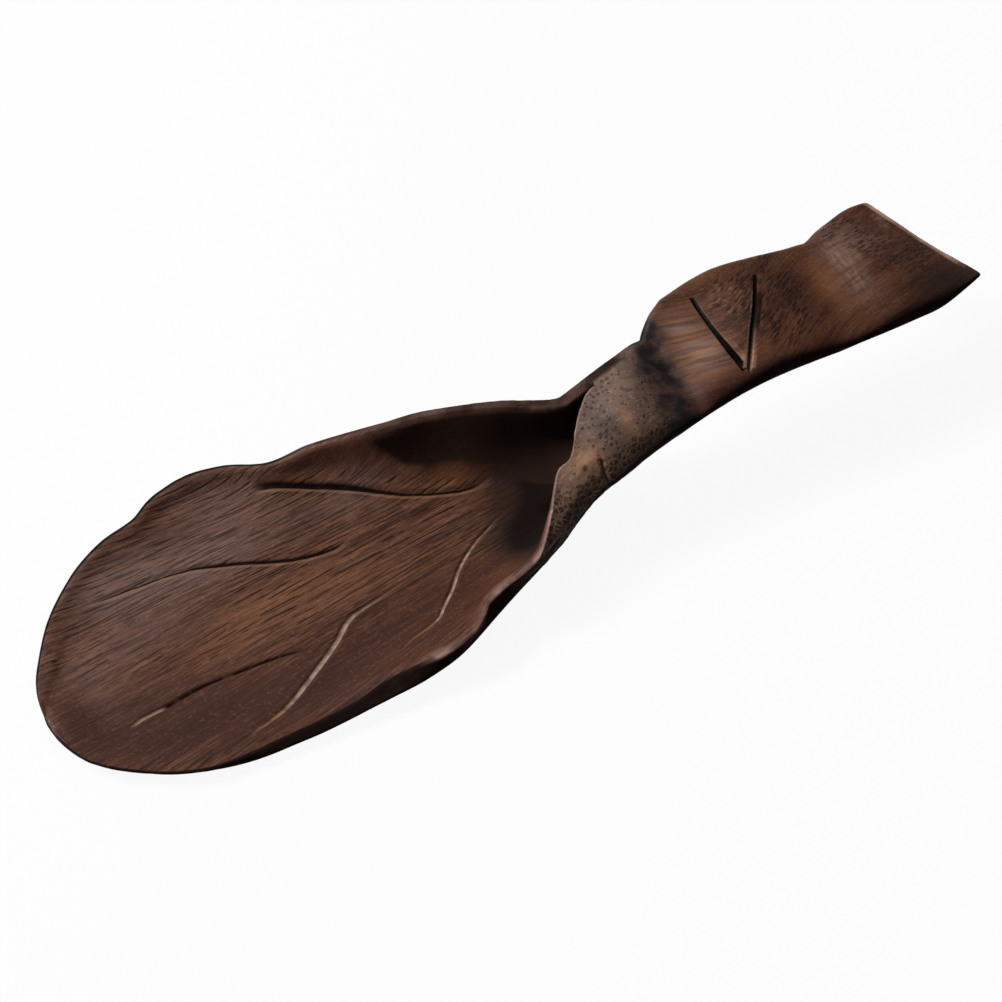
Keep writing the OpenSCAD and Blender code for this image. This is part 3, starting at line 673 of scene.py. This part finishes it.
# Wear and a painted highlight: along the near lip from the bowl's middle to the seam, and faintly along
# the high far rim
open_x, shut_x = stations[:seam_i], stations[seam_i - 1:]
before_seam = fall(open_x, SEAM_X, 2)
lip_wear_and_highlight = (rise(open_x, -35, 6) * before_seam)[:, None]
far_wear_and_highlight = (rise(open_x, -34, 12) * FAR_WEAR_AND_HIGHLIGHT * before_seam)[:, None]
open_rim = np.zeros(open_grid.shape[:2])
open_rim[:, outer_n - 1:inner_from + 1] = far_wear_and_highlight
open_rim[:, inner_to - 1:] = lip_wear_and_highlight * np.linspace(0.2, 1, open_m - inner_to + 1)[None, :] ** 2
# The worn strip with its painted highlight runs a little down the outside of the lip
lip_run = np.linalg.norm(open_grid[:, :LIP_WEAR_AND_HIGHLIGHT_STEPS] - open_grid[:, :1], axis=2)
open_rim[:, :LIP_WEAR_AND_HIGHLIGHT_STEPS] = lip_wear_and_highlight * clamp(1.3 - lip_run / 0.4)

# Vertices: the open grid, then the shut grid, which takes the outside of its first row from it
open_count, shut_count = len(open_x) * open_m, len(shut_x) * shut_m
open_ids = np.arange(open_count).reshape(-1, open_m)
shut_ids = open_count + np.arange(shut_count).reshape(-1, shut_m)
shut_ids[0, :outer_n] = open_ids[-1, :outer_n]


def quads(ids):
    a, b = ids[:-1], ids[1:]
    a2, b2 = np.roll(a, -1, axis=1), np.roll(b, -1, axis=1)
    return np.stack([a, a2, b2, b], axis=-1).reshape(-1, 4)


faces = np.concatenate([quads(open_ids), quads(shut_ids)]).tolist()
faces.append(open_ids[0][::-1].tolist())
faces.append(shut_ids[-1].tolist())
slit = open_ids[-1, outer_n - 1:].tolist() + [int(open_ids[-1, 0])]
faces.append(slit + shut_ids[0, outer_n:][::-1].tolist())
used = np.zeros(open_count + shut_count, bool)
used[[v for face in faces for v in face]] = True
renumber = np.cumsum(used) - 1
faces = [renumber[face].tolist() for face in faces]

body_points, body_normals, inside, rim, station = (np.concatenate(parts)[used] for parts in (
    (open_grid.reshape(-1, 3), shut_grid.reshape(-1, 3)), (normals(open_grid), normals(shut_grid)),
    (np.tile(open_inner, seam_i), np.zeros(shut_count, bool)), (open_rim.ravel(), np.zeros(shut_count)),
    (np.full(open_count, TIP_X), np.repeat(shut_x, shut_m))))
body_points, masks, lines = carve(body_points, body_normals, inside)
masks["rim"] = rim
# The end's top edge is worn too, with a painted highlight, more so on the far side
end_wear_and_highlight = clamp((station - END_X + 1.7) / 0.6) * (body_points[:, 2] > 16)
masks["end_edge_wear_and_highlight"] = end_wear_and_highlight * rise(body_points[:, 1], -9, 4)

mesh = bpy.data.meshes.new("scoop_body")
mesh.from_pydata((body_points * MM).tolist(), [], faces)
mesh.validate()
mesh.polygons.foreach_set("use_smooth", [True] * len(mesh.polygons))
for kind, key, table in (("FLOAT", "value", masks), ("FLOAT_VECTOR", "vector", lines)):
    for name, values in table.items():
        made = mesh.attributes.new(name, kind, "POINT")
        made.data.foreach_set(key, values.astype(np.float32).ravel())
mesh.update()
body = bpy.data.objects.new("scoop_body", mesh)
bpy.context.scene.collection.objects.link(body)


class Nodes:
    """Short words for building with nodes, where a base colour is laid on in coats."""

    def __init__(self, owner):
        self.owner = owner
        owner.use_nodes = True
        self.tree = owner.node_tree
        self.tree.nodes.clear()
        self.place = self.fibre = self.base = self.cuts = None

    def finish(self, shader, kind="Material"):
        """Ends a material's or a world's nodes with a shader, and gives their owner."""
        self.node("ShaderNodeOutput" + kind, Surface=shader)
        return self.owner

    def put(self, socket, value):
        if isinstance(value, bpy.types.NodeSocket):
            self.tree.links.new(value, socket)
        elif value is not None:
            socket.default_value = value

    def node(self, kind, settings=None, **inputs):
        n = self.tree.nodes.new(kind)
        for key, value in (settings or {}).items():
            setattr(n, key, value)
        for key, value in inputs.items():
            self.put(n.inputs[key.replace("_", " ")], value)
        return n

    def math(self, operation, a, b=None, c=None, clamp=False):
        n = self.node("ShaderNodeMath", {"operation": operation, "use_clamp": clamp})
        for socket, value in zip(n.inputs, (a, b, c)):
            self.put(socket, value)
        return n.outputs[0]

    def times(self, first, *others):
        """Product of the values."""
        for value in others:
            first = self.math("MULTIPLY", first, value)
        return first

    def most(self, first, *others):
        """The highest of the values."""
        for value in others:
            first = self.math("MAXIMUM", first, value)
        return first

    def left(self, value, share=1):
        """What is left of 1 once a share of a value is taken away."""
        return self.math("SUBTRACT", 1, self.math("MULTIPLY", value, share), clamp=True)

    def total(self, *terms):
        """Sum of values, each times its share."""
        result = 0
        for value, share in terms:
            result = self.math("MULTIPLY_ADD", value, share, result)
        return result

    def size(self, value):
        """The value without its sign."""
        return self.math("ABSOLUTE", value)

    def span(self, value, low, high, to_low=0, to_high=1):
        """The value eased from one range to another."""
        n = self.node("ShaderNodeMapRange", {"interpolation_type": "SMOOTHSTEP"})
        for socket, v in zip(n.inputs, (value, low, high, to_low, to_high)):
            self.put(socket, v)
        return n.outputs[0]

    def mask(self, name, output="Fac"):
        return self.node("ShaderNodeAttribute", {"attribute_name": name}).outputs[output]

    def axes(self, vector):
        return self.node("ShaderNodeSeparateXYZ", Vector=vector).outputs

    def vector(self, **axes):
        return self.node("ShaderNodeCombineXYZ", **axes).outputs[0]

    def scaled(self, vector, by, shift=(0, 0, 0)):
        """A vector scaled by one number or one an axis, and then shifted."""
        by = by if isinstance(by, tuple) else (by, by, by)
        return self.node("ShaderNodeMapping", Vector=vector, Scale=by, Location=shift).outputs[0]

    def noise(self, vector, by, detail=2, rough=0.55, distort=0, shift=(0, 0, 0)):
        n = self.node("ShaderNodeTexNoise", Vector=self.scaled(vector, by, shift), Scale=1,
                      Detail=detail, Roughness=rough, Distortion=distort)
        return n.outputs["Fac"]

    def cells(self, vector, random=1, feature="F1"):
        """Distance from the middle of a cell, or from its edge."""
        n = self.node("ShaderNodeTexVoronoi", {"feature": feature}, Vector=vector, Scale=1,
                      Randomness=random)
        return n.outputs["Distance"]

    def blend(self, fac, a, b):
        n = self.node("ShaderNodeMix", {"data_type": "RGBA", "clamp_factor": True},
                      Factor=fac, A=a, B=b)
        return n.outputs["Result"]

    def mixed(self, fac, first, second):
        n = self.node("ShaderNodeMixShader", Fac=fac)
        self.put(n.inputs[1], first)
        self.put(n.inputs[2], second)
        return n.outputs[0]

    def paint(self, colour, *masks):
        """Lays a coat over the base colour, as strong as the product of the masks."""
        self.base = self.blend(self.times(*masks), self.base, colour)

    def cut(self, mask):
        """Adds to what is cut in the wood."""
        self.cuts = self.most(self.cuts, mask)


def rgb(red, green, blue):
    """A colour given in screen values of 0 to 255."""
    def linear(v):
        v = v / 255
        return v / 12.92 if v <= 0.04045 else ((v + 0.055) / 1.055) ** 2.4
    return (linear(red), linear(green), linear(blue), 1)


def line_axes(m, name, taper=0.1):
    """A carved line's signed distance, the share along it, and its live part, which ends in tapers."""
    parts = m.axes(m.mask(name, "Vector"))
    live = m.times(parts["Z"], m.span(parts["Y"], 0, taper), m.span(parts["Y"], 1, 1 - taper))
    return parts["X"], parts["Y"], live


def line_core(m, signed, half, live):
    """Mask of a carved line out to its half width."""
    return m.times(m.span(m.size(signed), half, m.times(half, 0.4)), live)


def strip(m, signed, low, high, soft):
    """Mask of the strip between two signed distances from a line."""
    return m.times(m.span(signed, low - soft, low), m.span(signed, high + soft, high))


def hatch(m, spacing, half, seed, low, high):
    """Dark lines along the fibres, about one spacing apart, each swelling and ending in runs."""
    parts = m.axes(m.fibre)
    drift = m.noise(m.fibre, (0.018, 0.11, 0.08), 1, shift=(seed, 4, 1))
    row = m.total((parts["Y"], 1 / spacing), (drift, 6))
    off = m.size(m.math("SUBTRACT", m.math("FRACT", row), 0.5))
    where = m.vector(X=m.times(parts["X"], 0.13), Y=m.times(m.math("FLOOR", row), 3.7), Z=float(seed))
    run = m.noise(where, 1, 2, 0.6)
    width = m.span(run, low, high, 0.05, half)
    return m.times(m.span(off, width, m.times(width, 0.15)), m.span(run, low, high))


def wood_tone(m):
    """The plain wood. Returns its clouds, middle and fine streaks, and the lines of its grain."""
    grey, red, gold = m.mask("grey"), m.mask("red"), m.mask("gold")
    handle = m.mask("handle")
    cloud = m.noise(m.place, (70, 110, 110), 4, 0.6)
    broad = m.noise(m.fibre, (0.03, 0.34, 0.12), 3, 0.6, 0.3)
    mid = m.noise(m.fibre, (0.06, 1.25, 0.3), 3, 0.6, 0.2)
    fine = m.noise(m.fibre, (0.22, 3.6, 0.9), 2, 0.6, 0.2)
    m.base = m.blend(m.span(broad, 0.32, 0.68), rgb(64, 34, 25), rgb(96, 58, 42))
    m.paint(rgb(106, 66, 44), m.span(cloud, 0.4, 0.7, 0, 0.3))
    # Grey, red and gold tones of the soft regions, which are partly painted sheen, shade and light
    m.paint(rgb(113, 91, 85), grey, 0.75)
    m.paint(rgb(54, 25, 16), red, 0.85)
    m.paint(rgb(124, 80, 50), gold, 0.65)
    # The streaks are calmer where the wood is red, steep, or a rubbed part of the handle
    smooth = m.times(m.math("MULTIPLY_ADD", gold, 0.5, 0.35), handle)
    calm = m.times(m.left(red, 0.8), m.left(m.mask("steep"), 0.85), m.left(smooth))
    for streaks, start, full, strength, colour in (
            (mid, 0.5, 0.72, 0.45, rgb(42, 25, 19)), (mid, 0.48, 0.3, 0.4, rgb(120, 82, 62)),
            (fine, 0.5, 0.68, 0.55, rgb(36, 22, 16)), (fine, 0.47, 0.32, 0.4, rgb(136, 98, 70))):
        m.paint(colour, m.span(streaks, start, full, 0, strength), calm)
    speck = m.noise(m.place, 1700)
    m.paint(rgb(150, 112, 80), m.span(speck, 0.56, 0.72, 0, 0.16))
    m.paint(rgb(36, 22, 17), m.span(speck, 0.44, 0.3, 0, 0.25))
    # The grain: two sorts of short lines, which crowd in some regions, and a few long ones
    crowd = m.noise(m.fibre, (0.03, 0.12, 0.1), shift=(3, 1, 2))
    lines = m.times(hatch(m, 1, 0.2, 3, 0.42, 0.54), m.span(crowd, 0.34, 0.52, 0.45, 1))
    more = m.times(hatch(m, 0.7, 0.19, 8, 0.5, 0.6), m.span(crowd, 0.62, 0.42, 0.2, 0.8))
    ridge = m.noise(m.fibre, (0.024, 0.8, 0.2), 1, 0.5, shift=(5, 9, 2))
    run = m.noise(m.fibre, (0.09, 0.8, 0.2), shift=(1, 3, 8))
    long_lines = m.times(m.span(m.size(m.math("SUBTRACT", ridge, 0.5)), 0.024, 0.008),
                         m.span(run, 0.46, 0.58))
    grain = m.times(m.most(lines, more, long_lines), m.left(handle, 0.85),
                    m.left(m.mask("roll")), calm)
    m.paint(rgb(30, 17, 12), grain, m.math("MULTIPLY_ADD", grey, -0.35, 0.92))
    # Painted shade on the floor towards the deep of the throat
    m.paint(rgb(36, 22, 17), m.mask("painted_throat_shade"), 0.8)
    return cloud, mid, fine, grain


def handle_tone(m):
    """The lobe and crests of the handle, rubbed and with a painted sheen, their flecks and dashes.
    Returns the dashes.
    """
    gold, pale = m.mask("gold"), m.mask("pale")
    along = m.axes(m.place)["X"]
    third_crest = m.span(along, 0.056, 0.062)
    # Painted sheen: bands of gold and pinkish grey along the fibres, crossed on the third crest by the
    # knife's chatter
    bands = m.noise(m.fibre, (0.07, 0.75, 0.25), shift=(7, 7, 7))
    sheen = m.blend(m.span(bands, 0.44, 0.58), rgb(150, 108, 80), rgb(138, 108, 96))
    sheen = m.blend(third_crest, sheen, rgb(126, 101, 88))
    streak = m.noise(m.fibre, (0.1, 1.4, 0.4), shift=(4, 2, 6))
    chatter = m.noise(m.fibre, (1.5, 0.5, 0.3), shift=(2, 5, 3))
    crossed = m.times(third_crest, m.span(chatter, 0.6, 0.38, 0, 0.6))
    m.paint(sheen, pale, m.span(streak, 0.62, 0.4, 0.35, 0.95), m.left(crossed))
    # Short dark dashes and pale flecks, crowded in some places, away from the golden ones
    bare = m.left(m.most(gold, m.times(pale, 0.6)))
    reach = m.span(m.noise(m.place, 260, shift=(1, 1, 1)), 0.35, 0.65, 0.28, 0.5)
    from_dash = m.math("SUBTRACT", m.cells(m.scaled(m.fibre, (0.52, 1.6, 0.7))), reach)
    dash = m.times(m.span(from_dash, 0.08, -0.1), m.span(m.mask("dashes"), 0.05, 0.7, 0.15, 1),
                   m.span(along, 0.022, 0.032), bare, m.mask("handle"))
    fleck = m.noise(m.fibre, (0.8, 1.9, 1.2), shift=(9, 3, 5))
    m.paint(rgb(132, 100, 80), m.span(fleck, 0.54, 0.64), m.mask("flecks"), bare, 0.65)
    m.paint(rgb(34, 20, 15), dash, 0.78)
    return dash


def neck_tone(m, cloud):
    """The greyer neck and roll, with smudges, pale grains and cut pores. Returns the pores."""
    net, gold = m.mask("net"), m.mask("gold")
    near_on = m.span(m.axes(m.place)["X"], 0.027, 0.022)
    ground = m.times(m.most(m.mask("handle"), m.mask("roll")), near_on)
    tint = m.blend(m.span(cloud, 0.42, 0.6), rgb(106, 84, 72), rgb(120, 92, 76))
    smudge = m.noise(m.place, 800, shift=(3, 3, 3))
    grains = m.noise(m.place, 1300, shift=(6, 2, 1))
    # The grey and gold tints here are partly painted sheen and light
    for fac, colour in ((m.times(m.mask("grey"), 0.9), rgb(94, 77, 68)),
                        (m.times(net, 0.6), rgb(94, 66, 53)),
                        (m.span(smudge, 0.5, 0.66, 0, 0.55), rgb(66, 54, 46)),
                        (m.span(grains, 0.55, 0.7, 0, 0.6), rgb(146, 120, 104)),
                        (m.times(gold, 0.75), rgb(172, 130, 102))):
        tint = m.blend(fac, tint, colour)
    m.paint(tint, ground, 0.85)
    # Round pores, which crowd into a net
    bent = m.noise(m.place, 300)
    spots = m.scaled(m.place, (950, 1050, 1050))
    from_pore = m.math("SUBTRACT", m.cells(spots, 0.8), m.span(bent, 0.38, 0.62, 0.12, 0.34))
    net_pore = m.times(m.span(m.cells(spots, 0.8, "DISTANCE_TO_EDGE"), 0.07, 0.2),
                       m.span(bent, 0.36, 0.5, 0.55, 1), net)
    pore = m.times(m.most(m.times(m.span(from_pore, 0.07, -0.07), 0.75), net_pore), ground)
    m.paint(rgb(46, 29, 23), pore, 0.85)
    return pore


def scorch_and_shade_tone(m, cloud, mottle):
    """Dark spots, some of them painted shade, the valley's band of painted shade, scorched parts with
    painted shade, and worn edges with painted highlights. Returns the scorched and shaded parts.
    """
    # Dark spots, some of them painted shade on slopes that face away from the key lamp
    m.paint(rgb(38, 31, 31), m.mask("dark"), 0.85)
    patchy = m.noise(m.place, 330, 3, shift=(2, 2, 7))
    # Painted shade in the first valley
    m.paint(rgb(34, 29, 31), m.mask("band"), m.span(patchy, 0.4, 0.66, 1, 0.5))
    # Scorched colour and painted shade: the outside, the undersides, the far wall and the deep of the
    # throat
    char_and_shade = m.times(m.mask("char_and_shade"), m.span(mottle, 0.2, 0.8, 1, 0.88))
    depth = m.span(m.axes(m.place)["X"], -0.013, -0.002)
    scorch_and_shade = m.blend(depth, rgb(32, 20, 16), rgb(50, 35, 30))
    m.paint(m.blend(m.mask("steep"), rgb(22, 14, 12), scorch_and_shade), char_and_shade)
    redness = m.blend(m.span(mottle, 0.35, 0.65), rgb(23, 14, 13), rgb(44, 24, 21))
    m.paint(redness, m.mask("blush"), 0.95)
    # Worn edges with a painted highlight: the lips and rims, and the end's top edge
    wear_and_highlight = m.noise(m.place, 190, shift=(8, 8, 8))
    m.paint(m.blend(m.span(cloud, 0.4, 0.6), rgb(122, 86, 73), rgb(156, 126, 116)), m.mask("rim"),
            m.span(wear_and_highlight, 0.42, 0.56, 0.35, 1))
    m.paint(rgb(176, 138, 124), m.mask("end_edge_wear_and_highlight"), m.span(wear_and_highlight, 0.38, 0.55, 0.5, 1))
    return char_and_shade


def vein_tone(m):
    """The bowl's five veins."""
    # Two dark ones that swell and thin out, with a painted highlight on the lower lip
    for name, taper, swell, thin_to in (("far_vein", 0.05, (0.4, 0.62, 0.78, 0.3), 0.97),
                                        ("long_vein", 0.1, (0.28, 0.52, 0.2, 0.56), 0.72)):
        signed, share, live = line_axes(m, name, taper)
        half = m.times(m.span(share, *swell), m.span(share, 1, thin_to, 0.4, 1))
        core = line_core(m, signed, half, live)
        m.paint(rgb(146, 106, 80), strip(m, signed, -1, -0.55, 0.25), live, 0.35)
        m.paint(rgb(13, 7, 5), core, 0.97)
        m.cut(core)
    # One that starts pale and goes on as a broken dark line
    signed, share, live = line_axes(m, "short_vein")
    core = line_core(m, signed, 0.42, live)
    start = m.span(share, 0.33, 0.28)
    broken = m.noise(m.vector(X=share), 17)
    m.paint(rgb(156, 130, 112), core, start, 0.65)
    dark_run = m.times(core, m.left(start), m.span(broken, 0.36, 0.52, 0.5, 1))
    m.paint(rgb(16, 9, 7), dark_run)
    m.cut(dark_run)
    # Two pale ones, chalky in the middle, that fade out golden; the pale colour is partly a painted
    # highlight on the groove wall that faces the key lamp
    chalky_and_lit = m.span(m.noise(m.place, 620), 0.36, 0.58, 0.45, 0.9)
    for name, wide, thin, fades in (("broad_vein", 0.52, 0.3, 0.7), ("near_vein", 0.34, 0.22, 0.4)):
        signed, share, live = line_axes(m, name)
        half = m.times(m.span(share, 0.12, 0.35, thin, wide), m.span(share, 0.95, 0.6, 0.7, 1))
        chalk_and_highlight = m.blend(m.span(share, 0.6, 0.85), rgb(162, 136, 120), rgb(150, 108, 78))
        m.paint(chalk_and_highlight, line_core(m, signed, half, live), chalky_and_lit, m.span(share, 0.6, 0.85, 1, fades),
                m.span(share, 0.08, 0.3, 0.4, 1))


def v_tone(m, mottle):
    """The V: its left cut black, its right cut with a dark band beyond a pale edge, golden feet."""
    chips = m.span(mottle, 0.34, 0.56, 0.15, 0.85)
    signed, share, live = line_axes(m, "left_cut", 0.03)
    m.paint(rgb(156, 120, 96), strip(m, signed, 0.55, 1.2, 0.5), m.span(share, 0.5, 0.85),
            m.span(live, 0.1, 0.5), chips)
    half = m.span(share, 0.35, 0.85, 0.34, 0.55)
    black = m.times(m.span(m.size(signed), m.math("ADD", half, 0.1), half), m.span(live, 0.02, 0.2))
    m.paint(rgb(5, 3, 3), black)
    m.cut(black)
    signed, share, live = line_axes(m, "right_cut", 0.03)
    m.paint(rgb(152, 108, 78), strip(m, signed, -0.8, 0.95, 0.35), m.span(share, 0.7, 0.88, 0, 0.8),
            m.span(live, 0.1, 0.5), chips)
    band = m.times(strip(m, signed, -0.1, 1.05, 0.4), m.span(share, 0.1, 0.3), m.span(share, 0.72, 0.5))
    m.paint(rgb(20, 15, 11), band, 0.88)
    m.cut(band)
    m.paint(rgb(142, 116, 102), strip(m, signed, -0.6, -0.42, 0.12), m.span(share, 0.15, 0.3),
            m.span(live, 0.1, 0.4), 0.7)
    black = m.times(m.span(m.size(signed), 0.42, 0.28), m.span(live, 0.02, 0.2),
                    m.span(share, 0.95, 0.6, 0.7, 1))
    m.paint(m.blend(m.span(share, 0.62, 0.85), rgb(8, 6, 5), rgb(58, 36, 25)), black)
    m.cut(black)


def crease_tone(m):
    """The crease beside the knuckle."""
    signed, _, live = line_axes(m, "fold", 0.15)
    m.paint(rgb(20, 12, 9), line_core(m, signed, 0.3, live), 0.9)


def bamboo():
    """Carbonised bamboo root: streaked fibres, cut pores, scorched hollows with painted shade, rubbed
    edges with painted highlights and painted sheen on the handle.
    """
    m = Nodes(bpy.data.materials.new("carbonised_bamboo"))
    m.fibre = m.mask("fibre", "Vector")
    m.place = m.node("ShaderNodeTexCoord").outputs["Object"]
    mottle = m.noise(m.place, 500, 3)
    cloud, mid, fine, grain = wood_tone(m)
    dash = handle_tone(m)
    pore = neck_tone(m, cloud)
    char_and_shade = scorch_and_shade_tone(m, cloud, mottle)
    m.cuts = m.times(grain, 0.6)
    vein_tone(m)
    v_tone(m, mottle)
    crease_tone(m)
    height = m.total((fine, 0.35), (mid, 0.4), (grain, -0.35), (pore, -0.6), (dash, -0.25))
    bump = m.node("ShaderNodeBump", Strength=0.5, Distance=0.0003,
                  Height=m.times(height, m.left(char_and_shade, 0.7)))
    rough = m.math("MULTIPLY_ADD", char_and_shade, 0.3, m.span(mid, 0.3, 0.7, 0.42, 0.56), clamp=True)
    # No sheen in what is scorched, painted in shade, or cut
    dull = m.most(char_and_shade, m.mask("blush"), m.cuts)
    shader = m.node("ShaderNodeBsdfPrincipled", Base_Color=m.base, Roughness=rough,
                    Normal=bump.outputs[0], Specular_IOR_Level=m.span(dull, 0, 1, 0.2, 0.05))
    return m.finish(shader.outputs[0])


body.data.materials.append(bamboo())
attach(body, "root")
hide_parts("scoop")

# The studio: floor, lamps and camera, in metres and watts. Both lamps aim at the scoop's middle
FLOOR_SIZE, FLOOR_Z = 6, -0.0002
LAMPS = {"key_left": ((-0.72, 0.6, 0.82), (0.34, 0.34), 18),
         "back_sheen": ((-0.1, 0.8, 0.95), (0.9, 0.4), 3)}
LAMP_AIM = (0, 0, 0.01)
SOFT_LIGHT = 0.1
CAMERA_PLACE, CAMERA_AIM = (-0.210116, -0.338967, 0.41283), (-0.006426, -0.007548, 0.01)
CAMERA_SENSOR, CAMERA_LENS = 36, 122.8
WHITE = (1, 1, 1, 1)


def floor_material():
    """Studio floor: white paper with a faint shadow for camera and mirror rays, grey for the rest."""
    m = Nodes(bpy.data.materials.new("studio_floor"))
    rays = m.node("ShaderNodeLightPath").outputs
    seen = m.most(rays["Is Camera Ray"], rays["Is Glossy Ray"], rays["Is Transmission Ray"])
    shade = m.blend(seen, rgb(70, 70, 70), rgb(225, 225, 225))
    paper = m.node("ShaderNodeBsdfDiffuse", Color=shade).outputs[0]
    glow = m.node("ShaderNodeEmission", Color=WHITE, Strength=1).outputs[0]
    # The paper gives way to plain white away from the scoop, so that no horizon shows
    reach = m.node("ShaderNodeVectorMath", {"operation": "LENGTH"},
                   Vector=m.node("ShaderNodeTexCoord").outputs["Object"]).outputs["Value"]
    return m.finish(m.mixed(m.times(seen, m.span(reach, 0.2, 0.8, 0.93, 1)), paper, glow))


def backdrop():
    """A world that is white to the camera and lights the scoop only softly."""
    m = Nodes(bpy.data.worlds.new("studio"))
    rays = m.node("ShaderNodeLightPath").outputs
    soft = m.node("ShaderNodeBackground", Color=WHITE, Strength=SOFT_LIGHT).outputs[0]
    white = m.node("ShaderNodeBackground", Color=WHITE, Strength=1).outputs[0]
    return m.finish(m.mixed(rays["Is Camera Ray"], soft, white), "World")


def aimed(name, data, place, aim):
    """An object that looks from a place at an aim."""
    made = bpy.data.objects.new(name, data)
    made.location = place
    made.rotation_euler = (Vector(aim) - Vector(place)).to_track_quat("-Z", "Y").to_euler()
    bpy.context.scene.collection.objects.link(made)
    return made


sheet = bpy.data.meshes.new("floor")
sheet.from_pydata([(x * FLOOR_SIZE / 2, y * FLOOR_SIZE / 2, FLOOR_Z)
                   for x, y in ((-1, -1), (1, -1), (1, 1), (-1, 1))], [], [(0, 1, 2, 3)])
sheet.materials.append(floor_material())
floor = bpy.data.objects.new("floor", sheet)
bpy.context.scene.collection.objects.link(floor)
bpy.context.scene.world = backdrop()

for name, (place, size, watts) in LAMPS.items():
    lamp = bpy.data.lights.new(name, "AREA")
    lamp.shape = "RECTANGLE"
    lamp.size, lamp.size_y = size
    lamp.energy = watts
    aimed(name, lamp, place, LAMP_AIM)

lens = bpy.data.cameras.new("camera")
lens.sensor_width, lens.lens = CAMERA_SENSOR, CAMERA_LENS
bpy.context.scene.camera = aimed("camera", lens, CAMERA_PLACE, CAMERA_AIM)
bpy.context.scene.view_settings.view_transform = "Standard"
